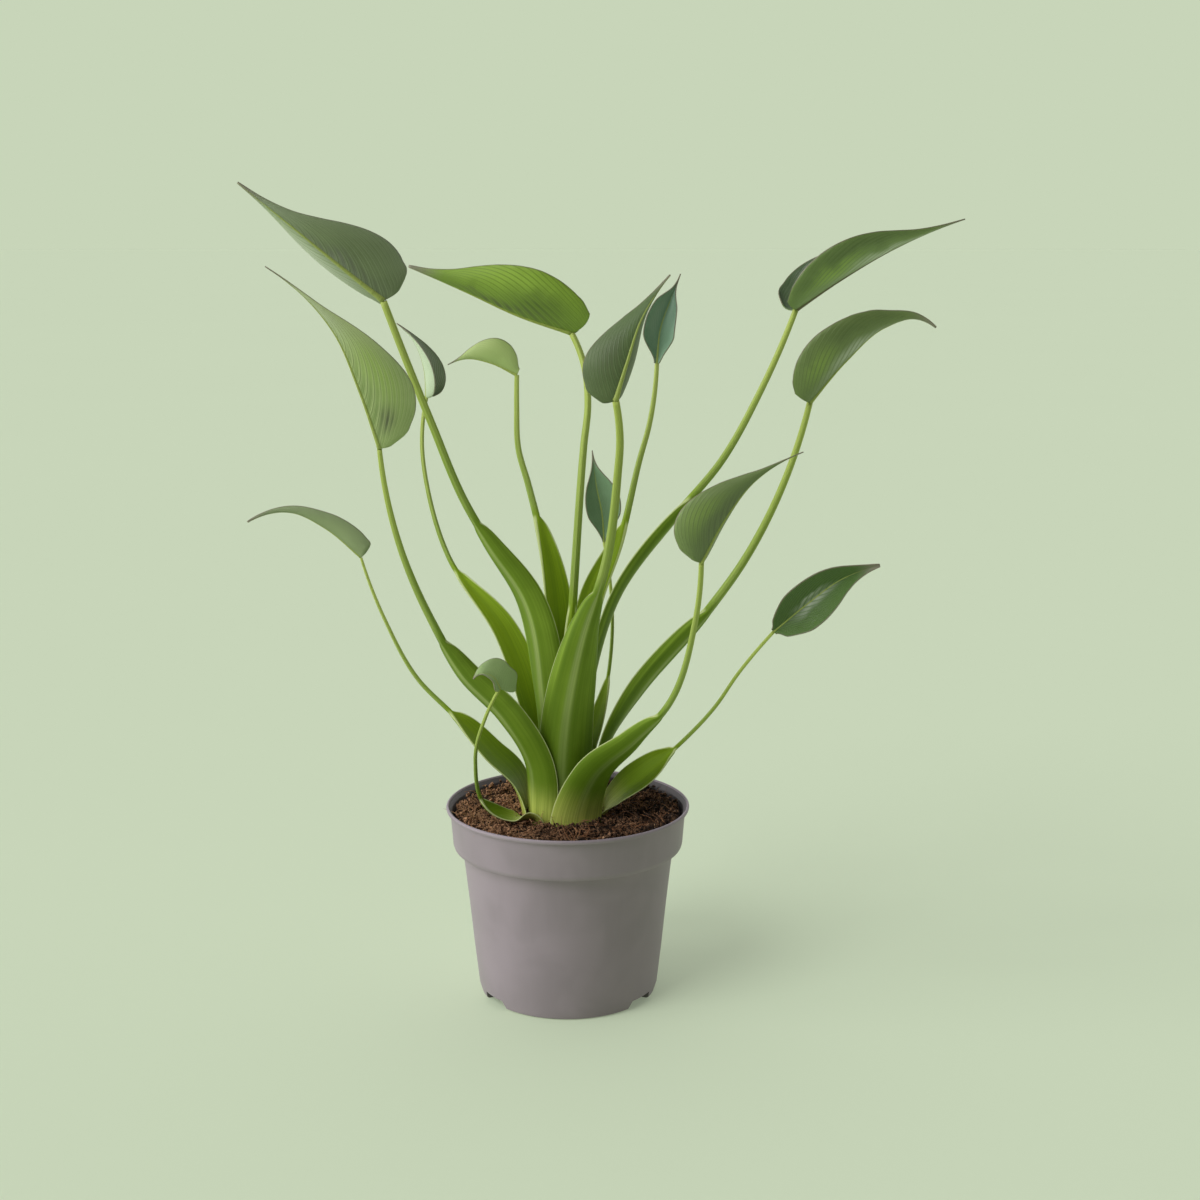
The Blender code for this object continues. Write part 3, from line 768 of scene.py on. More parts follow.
# %% Stalk measures
# Each stalk: foot = (radius from the middle of the crown, bearing of its back, angles that it
# wraps anticlockwise and clockwise of that, seen from above), wide = the sheath's half-widths
# on those two sides at its fullest, opens = share of its length where it starts to widen,
# sheath = its length along the line, turn = (bearing of its back where the sheath ends,
# half-angle of its curl there), rod = radius at the sheath's end and at the blade, line = points
# that the back passes through. Bearings: 0 = +X, -90 = front.
STALKS = {
    "upper_left": dict(
        foot=(13, -143, 46, 46), wide=(14, 14), turn=(-115, 55), sheath=165, rod=(2.2, 1.8),
        line=((-11, -5, 150), (-20, -11, 202), (-36, -15, 228), (-47, -18, 248), (-62, -25, 287)),
    ),
    "mid_left": dict(
        foot=(19, -150, 44, 44), wide=(14.5, 14.5), turn=(-118, 55), sheath=118, rod=(2.2, 1.2),
        line=((-17, -8, 116), (-30, -14, 143), (-49, -23, 167), (-63, -34, 196), (-75, -50, 233)),
    ),
    "small_left": dict(
        foot=(13, 138, 28, 28), wide=(7, 13), opens=0.1, turn=(110, 55), sheath=140,
        rod=(1.4, 1.0),
        line=((-17, 13, 131), (-33, 24, 177), (-60, 39, 212), (-71, 51, 243), (-75, 62, 270)),
    ),
    "tall_centre": dict(
        foot=(3.6, 90, 70, 70), wide=(5.5, 5.5), turn=(90, 45), sheath=110, rod=(2.3, 1.6),
        line=((1, 12, 166), (4, 19, 216), (8, 28, 271), (10, 30, 291), (8, 33, 310)),
    ),
    "pale_centre": dict(
        foot=(7, 150, 46, 40), wide=(6, 16), opens=0.35, turn=(125, 55), sheath=157,
        rod=(2.0, 1.3),
        line=((-6, 15, 170), (-11, 27, 214), (-20, 40, 250), (-25, 46, 267), (-26, 53, 287)),
    ),
    "front_centre": dict(
        foot=(16, -95, 52, 58), wide=(16.5, 16.5), turn=(-80, 60), sheath=128, rod=(2.5, 1.7),
        line=((-1, -14, 124), (8, -22, 184), (19, -28, 223), (24, -36, 264), (25, -41, 281)),
    ),
    "blue_right": dict(
        foot=(7, 50, 42, 22), wide=(16, 3.5), opens=0.35, turn=(65, 50), sheath=156,
        rod=(1.9, 1.2),
        line=((7, 13, 148), (16, 25, 196), (25, 34, 219), (36, 51, 261), (41, 59, 278)),
    ),
    "back_short": dict(
        foot=(13, 75, 20, 20), wide=(6, 8), opens=0.3, turn=(60, 50), sheath=76, rod=(1.0, 0.9),
        line=((10, 18, 120), (19, 24, 149), (22, 33, 173), (21, 49, 199)),
    ),
    "upper_right": dict(
        foot=(10, 8, 22, 50), wide=(6, 13), opens=0.1, turn=(-15, 50), sheath=178,
        rod=(2.2, 1.6),
        line=((14, 7, 165), (24, 12, 196), (54, 22, 237), (76, 28, 263), (95, 36, 296)),
    ),
    "mid_right": dict(
        foot=(13, -5, 42, 30), wide=(12, 14), opens=0.2, turn=(-45, 45), sheath=130,
        rod=(2.5, 1.6),
        line=((19, 0, 125), (35, -3, 153), (66, -10, 193), (84, -15, 220), (101, -23, 257)),
    ),
    "front_right": dict(
        foot=(22, -75, 38, 38), wide=(13.5, 13), turn=(-55, 55), sheath=84, rod=(1.9, 1.3),
        line=((13, -20, 114), (32, -28, 135), (47, -37, 154), (59, -56, 198)),
    ),
    "low_right": dict(
        foot=(19, -8, 30, 28), wide=(13, 11), turn=(50, 40), sheath=60, rod=(1.1, 0.85),
        line=((27, -1, 101), (45, -5, 118), (71, -17, 149), (82, -27, 169)),
    ),
    "low_left": dict(
        foot=(22, 180, 27, 27), wide=(8, 15), turn=(145, 45), sheath=72, rod=(1.4, 0.8),
        line=((-26, 5, 104), (-39, 7, 118), (-57, 14, 137), (-75, 20, 154), (-92, 30, 182)),
    ),
    "soil_left": dict(
        foot=(22.4, -134, 12, 12), wide=(6, 8), turn=(-200, 45), sheath=42, rod=(1.1, 0.9),
        line=((-28, -15, 92.5), (-39, -17, 99), (-44, -23, 124), (-38, -34, 149)),
    ),
}

# %% Blade measures
# Each blade: midrib = points from the stalk to the tip; left and right = (half-width, direction
# in which that half leaves the midrib, direction at its margin, how far its lobe reaches back,
# belly: over 1 moves its widest place towards the tip). Left is on the left when the tip is up.
# Directions: 0 = square to the midrib in the X-Z plane, 90 = straight back. slim over 1 narrows
# the outer part, base under 1 narrows it by the stalk and over 1 widens it there.
BLADES = {
    "upper_left": dict(
        midrib=((-82, -34, 343), (-104, -37, 361), (-123, -39, 377), (-145, -40, 395)),
        left=(17.5, 42, 97, 0, 1.4), right=(24, 1, 45, 2.5, 0.85), slim=1.1,
    ),
    "mid_left": dict(
        midrib=((-81, -70, 280), (-89, -73, 306), (-99, -76, 331), (-127, -79, 359)),
        left=(22.5, 80, 120, 0.5, 1), right=(23.5, -6, 40, 0.5, 0.95), slim=1.7,
    ),
    "small_left": dict(
        midrib=((-73, 70, 291), (-74, 71, 305), (-80, 73, 320), (-88, 74, 328)),
        left=(12.5, 115, 174, 0, 1), right=(13, -86, -39, 0.5, 0.85), slim=1.05,
    ),
    "tall_centre": dict(
        midrib=((2, 36, 325), (-23, 37, 333), (-50, 38, 345), (-78, 40, 357)),
        left=(27, 91, 147, 3, 1), right=(27.5, -51, 11, 6, 1.15), slim=0.9,
    ),
    "pale_centre": dict(
        midrib=((-26, 58, 303), (-39, 58, 309), (-52, 59, 311), (-61, 59, 308)),
        left=(11.5, 93, 149, 0, 1.2), right=(14, -43, 25, 0, 1.4), slim=1.55,
    ),
    "front_centre": dict(
        midrib=((23, -46, 299), (28, -49, 316), (35, -52, 337), (47, -54, 355)),
        left=(20.5, -3, 46, 3, 0.9), right=(21, 60, 107, 0.5, 1), slim=1.25,
    ),
    "blue_right": dict(
        midrib=((45, 70, 308), (47, 72, 326), (52, 74, 340), (57, 75, 353)),
        left=(12, -20, -64, 0, 1.55), right=(12.5, -35, -74, 0, 1), slim=0.65, base=0.3,
    ),
    "back_short": dict(
        midrib=((18, 60, 217), (17, 62, 231), (14, 63, 246), (12, 64, 264)),
        left=(9.5, -19, -57, 0, 1.5), right=(12, -5, -44, 0, 1.75), slim=1.4, base=0.4,
    ),
    "upper_right": dict(
        midrib=((113, 46, 336), (134, 47, 350), (164, 49, 367), (196, 50, 380)),
        left=(26.5, -77, -15, 2, 1.15), right=(26, 101, 154, 3.5, 0.85), slim=1.2,
    ),
    "mid_right": dict(
        midrib=(
            (112, -32, 297), (128, -33, 316), (145, -34, 331), (159, -35, 335), (168, -35, 331),
        ),
        left=(25.5, -73, 7, 1, 1.15), right=(23.5, 98, 144, 0.5, 1),
    ),
    "front_right": dict(
        midrib=((61, -70, 229), (70, -72, 247), (84, -73, 266), (105, -74, 279)),
        left=(22, -52, 15, 0, 1), right=(23.5, 63, 133, 0, 0.7), slim=1.65,
    ),
    "low_right": dict(
        midrib=((97, -38, 191), (112, -42, 205), (127, -45, 217), (144, -48, 224)),
        left=(13, -20, -39, 0, 1.55), right=(12, -23, -42, 0, 1.3), slim=0.8, base=0.7,
    ),
    "low_left": dict(
        midrib=((-105, 42, 212), (-123, 43, 227), (-140, 43, 235), (-162, 43, 230)),
        left=(10, 105, 160, 0, 0.8), right=(11, -43, 33, 0, 0.75), slim=0.85,
    ),
    "soil_left": dict(
        midrib=((-31, -40, 164), (-34, -42, 170), (-39, -43, 172), (-43, -42, 169)),
        left=(2.5, -75, -40, 0, 1), right=(11, 30, 60, 7, 1.3), base=1.7,
    ),
}

# %% Curves
def hermite(a, b, leave, reach, t):
    """Value or point at share t between a and b, with the slopes that it leaves and reaches."""
    return (
        a * ((1 + 2 * t) * (1 - t) ** 2)
        + leave * (t * (1 - t) ** 2)
        + b * (t * t * (3 - 2 * t))
        - reach * (t * t * (1 - t))
    )


def smooth_line(points, steps=24):
    """Points of a curve through all the given points, and the length up to each."""
    spans = [(b - a).length for a, b in zip(points, points[1:])]
    slopes = [(b - a) / span for a, b, span in zip(points, points[1:], spans)]
    tangents = [slopes[0]]
    for i in range(1, len(points) - 1):
        before, after = spans[i - 1], spans[i]
        tangents.append((slopes[i - 1] * after + slopes[i] * before) / (before + after))
    tangents.append(slopes[-1] * 2 - tangents[-1])
    found = []
    for i, span in enumerate(spans):
        ends = (points[i], points[i + 1], tangents[i] * span, tangents[i + 1] * span)
        found += [hermite(*ends, k / steps) for k in range(steps)]
    found.append(points[-1].copy())
    lengths = [0.0]
    for a, b in zip(found, found[1:]):
        lengths.append(lengths[-1] + (b - a).length)
    return found, lengths


def point_at(line, distance):
    """Point and direction at a distance along a line made by smooth_line."""
    found, lengths = line
    distance = min(lengths[-1], max(0.0, distance))
    i = 0
    while i < len(lengths) - 2 and lengths[i + 1] < distance:
        i += 1
    share = (distance - lengths[i]) / (lengths[i + 1] - lengths[i])
    before, after = found[max(0, i - 1)], found[min(len(found) - 1, i + 2)]
    near = (found[i + 1] - found[i]).normalized()
    wide = (after - before).normalized()
    return found[i].lerp(found[i + 1], share), (near + wide).normalized()


# %% [markdown]
# ## Stalks
#
# A stalk could be swept along its curve with one section, but here the section itself changes: a
# wide thin curl around its neighbours near the soil, a deep channel higher up, and a round rod at
# the top. So a flat grid is made with one column for each point around and one row for each ring,
# and each of its corners is moved to its ring. The grid's own UV map then follows the stalk. Four
# numbers are kept at each corner for the finish: the distance from the sheath's margin, the
# distance from the foot, whether it is the inner face, and how far past the sheath it is.

# %% Stalk shape
ACROSS = 20
EDGE = 0.16
SHEATH_HALF_THICK = 0.95
STRAIGHT = 11.0  # length that rises straight from the corm
FORWARD_LEAN = 0.35  # how much the open side looks up
OPENING = 0.45  # share of the sheath in which it opens to its full width
NARROWING = 0.6  # under 1 keeps a sheath wide for longer before it narrows to the rod
# (start, length) in shares of the sheath: where its curl widens and where it closes to a rod
CURL_WIDENS = (0.1, 0.5)
CURL_CLOSES = (0.6, 0.4)
RINGS = 110
RING_PACKING = 1.12  # over 1 packs the rings closer at the foot
TOP_GAP = 0.2  # air between a stalk and its blade
ROD_SHARE = 0.9  # the finished rods are a little thinner than the solid ones
STALK_NOTES = ("edge_mm", "along_mm", "inner", "past")


def section(centre, across, inward, widths, bend, half_thick):
    """One ring of a stalk: points of a curled strip, its distance from the margin with each."""
    back, front = [], []
    for k in range(ACROSS + 1):
        q = math.sin(math.pi * (k / ACROSS - 0.5))
        width = widths[0 if q < 0 else 1]
        a = q * width / bend
        normal = inward * math.cos(a) - across * math.sin(a)
        middle = centre + across * (bend * math.sin(a)) + inward * (bend * (1 - math.cos(a)))
        half = max(EDGE, half_thick * math.sqrt(max(0.0, 1 - q * q)))
        from_edge = width * (1 - abs(q))
        back.append((middle - normal * half, from_edge, 0.0))
        front.append((middle + normal * half, from_edge, 1.0))
    return back + front[::-1]


def stalk_rings(spec, end):
    """The rings of one stalk, from its foot on the corm to the blade."""
    radius, bearing, *wraps = spec["foot"]
    end_bearing, curl = spec["turn"]
    foot = Vector((*CROWN, CORM_TOP + GAP)) + toward(bearing) * radius
    points = [foot, foot + Vector((0, 0, STRAIGHT))]
    points += [Vector(p) for p in (*spec["line"], end)]
    line = smooth_line(points)
    length = line[1][-1] - TOP_GAP
    rings = []
    for i in range(RINGS + 1):
        at = length * (i / RINGS) ** RING_PACKING
        centre, along = point_at(line, at)
        if i == 0:
            along = Vector((0, 0, 1))
        t = min(1.0, at / spec["sheath"])
        inward = Vector((0, 0, FORWARD_LEAN if i else 0.0))
        inward -= toward(blend(bearing, end_bearing, ease_over(t, 0.0, 1.0)))
        inward = (inward - along * inward.dot(along)).normalized()
        across = along.cross(inward)
        past = max(0.0, (at - spec["sheath"]) / max(1.0, length - spec["sheath"]))
        rod = blend(*spec["rod"], past) * ROD_SHARE
        opening = ease_over(t, spec.get("opens", 0.0), OPENING)
        widths = []
        for wrap, wide in zip(wraps, spec["wide"]):
            full = blend(radius * math.radians(wrap), wide, opening)
            widths.append(rod + max(0.0, full - rod) * (1 - t * t) ** NARROWING)
        own_bend = max(spec["wide"]) / math.radians(curl)
        bend = blend(radius, own_bend, ease_over(t, *CURL_WIDENS))
        bend = blend(bend, 2 * rod, ease_over(t, *CURL_CLOSES))
        ring = section(
            centre, across, inward, widths, bend, blend(SHEATH_HALF_THICK, rod, t * t)
        )
        rings.append([(point, from_edge, at, inner, past) for point, from_edge, inner in ring])
    return rings


def grid(columns, rows, labels):
    """A flat grid from -1 to 1 with a UV map, and a layer of its corners for each label."""
    bm = bmesh.new()
    bm.loops.layers.uv.new("UVMap")
    layers = [bm.verts.layers.float.new(label) for label in labels]
    bmesh.ops.create_grid(bm, x_segments=columns, y_segments=rows, size=1.0, calc_uvs=True)
    return bm, layers


def noted(v, layers, values):
    """Write values into a corner's layers."""
    for layer, value in zip(layers, values):
        v[layer] = value


def tube(rings, labels):
    """A grid wrapped through rings of (point, values for the labels), with its ends filled."""
    around, rows = len(rings[0]), len(rings) - 1
    bm, layers = grid(around, rows, labels)
    for v in bm.verts:
        column, row = round((v.co.x + 1) / 2 * around), round((v.co.y + 1) / 2 * rows)
        v.co, *values = rings[row][column % around]
        noted(v, layers, values)
    bmesh.ops.remove_doubles(bm, verts=bm.verts, dist=0.001)
    bmesh.ops.holes_fill(bm, edges=[e for e in bm.edges if e.is_boundary], sides=0)
    return bm


# %% [markdown]
# ## The stalks' skin
#
# A stalk is pale yellow-green where it leaves the soil, bright green up the sheath and
# yellow-green again near the blade. Fine darker and lighter streaks run along it, and the sheath's
# margin is a thin pale skin. The streaks come from noise that is stretched along the stalk: the UV
# map gives the way around, and the kept distances give the way along.

# %% Streaks
streaks, given, result = effect(
    "streaks", [("Around", "Float", 0.0), ("Along mm", "Float", 0.0)], ["Broad", "Fine"]
)
for label, lines, drawn in (("Broad", 16.0, 0.006), ("Fine", 90.0, 0.012)):
    around = times(streaks, given["Around"], lines)
    along = times(streaks, given["Along mm"], drawn)
    spot = add(streaks, "CombineXYZ", {0: around, 1: along})
    found = add(streaks, "TexNoise", {"Vector": spot, "Scale": 1.0, "Detail": 2.0})
    streaks.links.new(ramp(streaks, found, 0.3, 0.7), result[label])
print("shared effect", streaks.name)

# %% Stalk finish
PALE_FOOT = srgb(196, 206, 100)
SHEATH_GREEN = srgb(140, 168, 56)
SHEATH_DEEP = srgb(84, 112, 18)
LOW_GREEN = srgb(78, 106, 4)
INNER_GREEN = srgb(142, 170, 26)
ROD_GREEN = srgb(126, 152, 54)
ROD_YELLOW = srgb(176, 192, 92)
ROD_PALE = srgb(202, 214, 134)
# pale of the sheath's thin margin, also used for the painted highlight on the keel
MARGIN_AND_HIGHLIGHT_PALE = srgb(222, 230, 170)


def stalk_skin(name):
    made, tree, shader = new_material("stalk_" + name, 0.55, Specular_IOR_Level=0.15)
    from_edge, along, inner, past = attributes(tree, STALK_NOTES)
    around = add(tree, "SeparateXYZ", {0: add(tree, "UVMap", uv_map="UVMap")})
    lines = {"Around": around, "Along mm": along}
    broad, fine = use(tree, streaks, lines, "Broad"), use(tree, streaks, lines, "Fine")
    rod = mixed(tree, ramp(tree, past, 0.1, 1.0), ROD_GREEN, ROD_YELLOW)
    rod = layered(tree, rod, (broad, 0.45, ROD_PALE))
    sheath_only = calc(tree, "SUBTRACT", 1.0, ramp(tree, past, 0.0, 0.03))
    margin = times(tree, ramp(tree, from_edge, 0.5, 0.15), sheath_only)
    colour = layered(
        tree,
        SHEATH_GREEN,
        (broad, 0.75, SHEATH_DEEP),
        (patchy(tree, 22.0), 0.3, SHEATH_DEEP),
        (inner, 0.75, INNER_GREEN),
        # painted highlight along the outer face's keel, and painted shade in the furrow beside it
        (bump(tree, around, 0.25, 0.035), 0.3, MARGIN_AND_HIGHLIGHT_PALE),
        (bump(tree, around, 0.31, 0.05), 0.35, SHEATH_DEEP),
        (ramp(tree, past, 0.0, 0.12), 1.0, rod),
        (ramp(tree, along, 85.0, 35.0), 0.6, LOW_GREEN),
        (ramp(tree, along, 32.0, 8.0), 1.0, PALE_FOOT),
        (fine, 0.42, SHEATH_DEEP),
        (margin, 0.6, MARGIN_AND_HIGHLIGHT_PALE),
    )
    height = calc(tree, "MULTIPLY_ADD", fine, 0.6, times(tree, grained(tree, 0.9), 0.5))
    linked(tree, shader, colour, height, 0.35, 0.0002)
    return made


# %% Stalks
for name, spec in STALKS.items():
    bm = tube(stalk_rings(spec, BLADES[name]["midrib"][0]), STALK_NOTES)
    stalk = finished("leafstalk_" + name, bm, stalk_skin(name))
    kept(stalk, "leaf_stalk", "stalk_" + name)

# %% [markdown]
# ## Blades
#
# A blade is a thin sheet folded along its midrib. Its halves curl up and back, its base has two
# rounded lobes and its tip is drawn out. The sheet starts as a grid: rows run along the midrib and
# columns across it. Each half follows an arc, so two directions and a width describe it. The
# midrib is a thin tapered rib that goes on from the stalk, so it is a second small tube in the
# same mesh. Solidify gives the sheet its thickness, with the inner face in its own material.

# %% Blade shape
BLADE_ACROSS = 14
BLADE_ROWS = 72
BLADE_PACKING = 1.3  # over 1 packs the rows closer at the base
BLADE_THICK = 0.55
BLADE_NOTES = ("share", "at", "edge_mm")
RIB_ROWS = 40
RIB_AROUND = 10
RIB_REACH = 0.93  # share of the midrib that has a rib
RIB_TIP = 0.2
RIB_FROM_EDGE = 9.0  # a rib counts as far from the margin, in mm
FULL_BASE = 1.15  # how much wider than in the solids the very base is
NARROW_BASE = {"low_right": 0.45, "blue_right": 1.0, "back_short": 0.8, "small_left": 1.0}
VERY_BASE = 0.07  # share of the midrib along which that fades out
BASE = 0.3  # share of the midrib that a blade's own base factor reaches
FINE_TIP = {"blue_right": 1.5}  # tips slimmer than the rest of their blade
TIP_FINES = (0.6, 0.35)  # (start, length) of the step to such a tip
THINNEST = 0.01
LOBE_TURN = 0.58 * math.pi  # how far the base edge turns up again at the margin
LOBE_FADE = 8  # how fast a lobe fades along the midrib


def smooth_value(table, x):
    """Value at x on a smooth curve through the (x, value) pairs of a table."""
    i = 0
    while i < len(table) - 2 and x > table[i + 1][0]:
        i += 1

    def slope(k):
        a, b = table[max(0, k - 1)], table[min(len(table) - 1, k + 1)]
        return (b[1] - a[1]) / (b[0] - a[0])

    (x0, y0), (x1, y1) = table[i], table[i + 1]
    span = x1 - x0
    return hermite(y0, y1, slope(i) * span, slope(i + 1) * span, (x - x0) / span)


def sides_of(along):
    """Directions square to the midrib: to the left as seen in the photo, and back."""
    left = Vector((-along.z, 0.0, along.x)).normalized()
    return left, left.cross(along)


def half_blade(spec, share, side, along, size):
    """Where a half of the blade lies beside the midrib, at a share of its half-width."""
    half_width, first, last = spec[:3]
    first, last = math.radians(first), math.radians(last)
    left, back = sides_of(along)
    now = blend(first, last, share)
    over = (math.sin(now) - math.sin(first)) / (last - first)
    deep = (math.cos(first) - math.cos(now)) / (last - first)
    return (left * (side * over) + back * deep) * (half_width * size)


def blade_size(name, spec, half, at):
    """Share of a half's full width at a share of the midrib's length."""
    size = max(THINNEST, smooth_value(BLADE_OUTLINE, at ** half[4]))
    slim = spec.get("slim", 1.0)
    slim = blend(slim, FINE_TIP.get(name, slim), ease_over(at, *TIP_FINES))
    size = size ** slim * blend(spec.get("base", 1.0), 1.0, ease_over(at, 0.0, BASE))
    return size * blend(NARROW_BASE.get(name, FULL_BASE), 1.0, ease_over(at, 0.0, VERY_BASE))


def add_rib(blade, line, rod):
    """A tapered rib along the fold, that goes on from the stalk, in the blade's mesh."""
    rings = []
    for i in range(RIB_ROWS + 1):
        share = i / RIB_ROWS
        centre, along = point_at(line, share * RIB_REACH * line[1][-1])
        left, back = sides_of(along)
        r = blend(rod * ROD_SHARE, RIB_TIP, share ** 0.5)
        ring = []
        for k in range(RIB_AROUND):
            a = 2 * math.pi * k / RIB_AROUND
            point = centre + (left * math.cos(a) + back * math.sin(a)) * r
            ring.append((point, share * RIB_REACH, RIB_FROM_EDGE))
        rings.append(ring)
    rib = finished("rib", tube(rings, BLADE_NOTES[1:]))
    bm = bmesh.new()
    for part in (blade, rib):
        bm.from_mesh(part.data)
    bm.to_mesh(blade.data)
    bm.free()
    bpy.data.objects.remove(rib, do_unlink=True)


def make_blade(name, spec, rod, skins):
    """The folded sheet with its thickness, and the rib along its fold."""
    line = smooth_line([Vector(p) for p in spec["midrib"]])
    bm, layers = grid(2 * BLADE_ACROSS, BLADE_ROWS, BLADE_NOTES)
    for v in bm.verts:
        q, row = v.co.x, (v.co.y + 1) / 2
        at = row ** BLADE_PACKING
        centre, along = point_at(line, at * line[1][-1])
        side, share = (1, -q) if q < 0 else (-1, q)
        half = spec["left"] if side > 0 else spec["right"]
        size = blade_size(name, spec, half, at)
        v.co = centre + half_blade(half, share, side, along, size)
        v.co -= along * (half[3] * math.sin(share * LOBE_TURN) * (1 - at) ** LOBE_FADE)
        noted(v, layers, (side * share, at, half[0] * size * (1 - share)))
    blade = finished("leafblade_" + name, bm, *skins, merge=False)
    shell = blade.modifiers.new("thickness", "SOLIDIFY")
    shell.thickness = BLADE_THICK * MM
    shell.offset = 0.0
    shell.use_even_offset = True
    shell.use_rim = True
    shell.material_offset = 1
    shell.material_offset_rim = 0
    applied(blade)
    add_rib(blade, line, rod)
    return blade


# %% [markdown]
# ## The blades' skins
#
# Most blades show their under side: grey-green, with curved veins that leave the midrib and sweep
# towards the tip, a yellow-green midrib and a thin brownish margin. The upper side is darker and
# glossier. The veins are lines of one number that grows along the leaf and falls towards the
# margin, so they need no drawing: where that number passes a whole step, there is a vein.

# %% Veins
veins, given, result = effect(
    "veins", [("Share", "Float", 0.0), ("At", "Float", 0.0)], ["Veins", "Stripes", "Fine"]
)
across = calc(veins, "ABSOLUTE", given["Share"])
sweep = times(veins, calc(veins, "POWER", across, 1.4), -0.7)
phase = calc(veins, "ADD", given["At"], sweep)
for label, count, low, high in (
    ("Veins", 13.0, 0.82, 0.99), ("Stripes", 13.0, 0.0, 1.0), ("Fine", 65.0, 0.45, 0.95)
):
    wave = calc(veins, "COSINE", times(veins, phase, count * 2 * math.pi))
    level = calc(veins, "MULTIPLY_ADD", wave, 0.5, 0.5)
    veins.links.new(ramp(veins, level, low, high), result[label])
print("shared effect", veins.name)

# %% Blade colours
# main, deep and pale colours of the side that faces out, brightness of its left and right half
# (partly its own tone, partly painted light and shade), how much it pales towards the tip (a
# painted sheen) and towards the margin
LEAF_LOOKS = {
    "upper_left": ((123, 141, 97), (93, 110, 69), (163, 182, 133), 1.1, 0.93, 0.8, 0.1),
    "mid_left": ((158, 180, 111), (120, 141, 80), (207, 221, 157), 1.3, 1.15, 0.75, 0.0),
    "small_left": ((150, 164, 136), (114, 128, 98), (160, 175, 145), 0.86, 1.7, 0.5, 0),
    "tall_centre": ((119, 147, 50), (90, 114, 34), (147, 181, 57), 1.0, 1.0, 0.35, 0.8),
    "pale_centre": ((193, 217, 136), (147, 170, 98), (218, 235, 158), 0.9, 0.9, 0.3, 0.6),
    "front_centre": ((93, 111, 63), (69, 86, 44), (102, 129, 75), 0.85, 0.88, 0.9, 0.1),
    "blue_right": ((129, 161, 135), (97, 125, 98), (148, 185, 160), 1.0, 1.05, 0.3, 0.3),
    "back_short": ((113, 141, 111), (85, 110, 80), (128, 159, 124), 1.15, 1.35, 0.2, 0.3),
    "upper_right": ((112, 138, 71), (84, 107, 50), (128, 150, 85), 1.15, 1.1, 0.5, 0.1),
    "mid_right": ((113, 134, 72), (85, 104, 50), (126, 147, 83), 1.0, 1.0, 0.35, 0.2),
    "front_right": ((117, 138, 80), (88, 107, 56), (143, 166, 97), 0.88, 0.88, 0.0, 0.55),
    "low_right": ((74, 108, 40), (52, 80, 24), (124, 158, 90), 1.0, 1.0, 0.0, 0.1),
    "low_left": ((151, 168, 118), (115, 131, 85), (147, 163, 126), 1.0, 1.0, 0.3, 0.2),
    "soil_left": ((151, 178, 113), (115, 139, 81), (171, 198, 130), 1.0, 1.0, 0.3, 0.3),
}
# pale grey of a painted sheen: highlights painted into the blades' colour
PAINTED_SHEEN = srgb(208, 214, 200)
# a dull dark green for patches beside the midrib
DARK_PATCH = srgb(74, 76, 60)
DEEP = srgb(62, 84, 30)
# bright yellow-green, partly painted light shining through the thin blade
BRIGHT = srgb(168, 202, 78)
# (colour, share across, its reach, share along, its reach, strength) of areas that differ;
# shares across are above zero on the left half. Areas in the pale sheen colour are painted
# highlights, and the bright yellow-green ones are partly painted light shining through the blade.
AREAS = {
    "upper_left": (
        (DARK_PATCH, -0.12, 0.25, 0.3, 0.4, 0.55), (PAINTED_SHEEN, 0.5, 0.9, 0.45, 0.6, 0.75),
        (PAINTED_SHEEN, -0.4, 0.7, 0.85, 0.35, 0.35),
    ),
    "mid_left": (
        (BRIGHT, -0.5, 0.4, 0.36, 0.3, 0.45), (DARK_PATCH, -0.3, 0.3, 0.12, 0.1, 0.9),
        (PAINTED_SHEEN, -0.3, 0.8, 0.7, 0.3, 0.5),
    ),
    "small_left": ((PAINTED_SHEEN, -0.5, 0.5, 0.5, 0.5, 0.12), (PAINTED_SHEEN, 0.5, 0.9, 0.5, 0.8, 0.6)),
    "tall_centre": (
        (DARK_PATCH, -0.16, 0.22, 0.45, 0.45, 0.7), (BRIGHT, -0.75, 0.4, 0.45, 0.45, 0.6),
        (DEEP, -0.4, 0.4, 0.25, 0.25, 0.7),
    ),
    "front_centre": ((DARK_PATCH, 0.45, 0.35, 0.35, 0.3, 0.35),),
    "blue_right": ((PAINTED_SHEEN, 0.4, 0.5, 0.5, 0.4, 0.3),),
    "upper_right": (
        (PAINTED_SHEEN, 0.22, 0.25, 0.55, 0.4, 0.6), (BRIGHT, 0.5, 0.35, 0.25, 0.25, 0.5),
        (DEEP, 0.8, 0.35, 0.45, 0.5, 0.65),
    ),
    "mid_right": (
        (PAINTED_SHEEN, 0.18, 0.24, 0.42, 0.35, 0.6), (BRIGHT, 0.5, 0.35, 0.22, 0.2, 0.45),
        (DEEP, 0.8, 0.35, 0.5, 0.5, 0.5),
    ),
    "front_right": ((DARK_PATCH, 0.2, 0.3, 0.35, 0.4, 0.4), (BRIGHT, 0.65, 0.35, 0.3, 0.25, 0.35)),
    "low_right": (
        (DEEP, 0.0, 2.0, 0.3, 0.6, 0.5), (PAINTED_SHEEN, -0.12, 0.3, 0.42, 0.3, 0.7),
        (PAINTED_SHEEN, 0.16, 0.12, 0.4, 0.25, 0.6),
    ),
}
MARGIN_BROWN = srgb(124, 116, 94)
TIP_GREY = srgb(138, 134, 116)
RIB_YELLOW = srgb(156, 170, 78)
RIB_COLOURS = {"upper_right": srgb(104, 96, 72)}
INSIDE_LOOKS = ((62, 86, 42), (42, 60, 29), (96, 118, 80), 1.0, 1.0, 0.0, 0.0)
INSIDES = {
    "small_left": ((96, 116, 78), (68, 84, 54), (130, 146, 112), 1.0, 1.0, 0.3, 0.3),
}
GLOSSY, MATTE = 0.3, 0.45  # roughness of the upper and the under side
SHOWS_UPPER = ("blue_right", "back_short", "low_right")

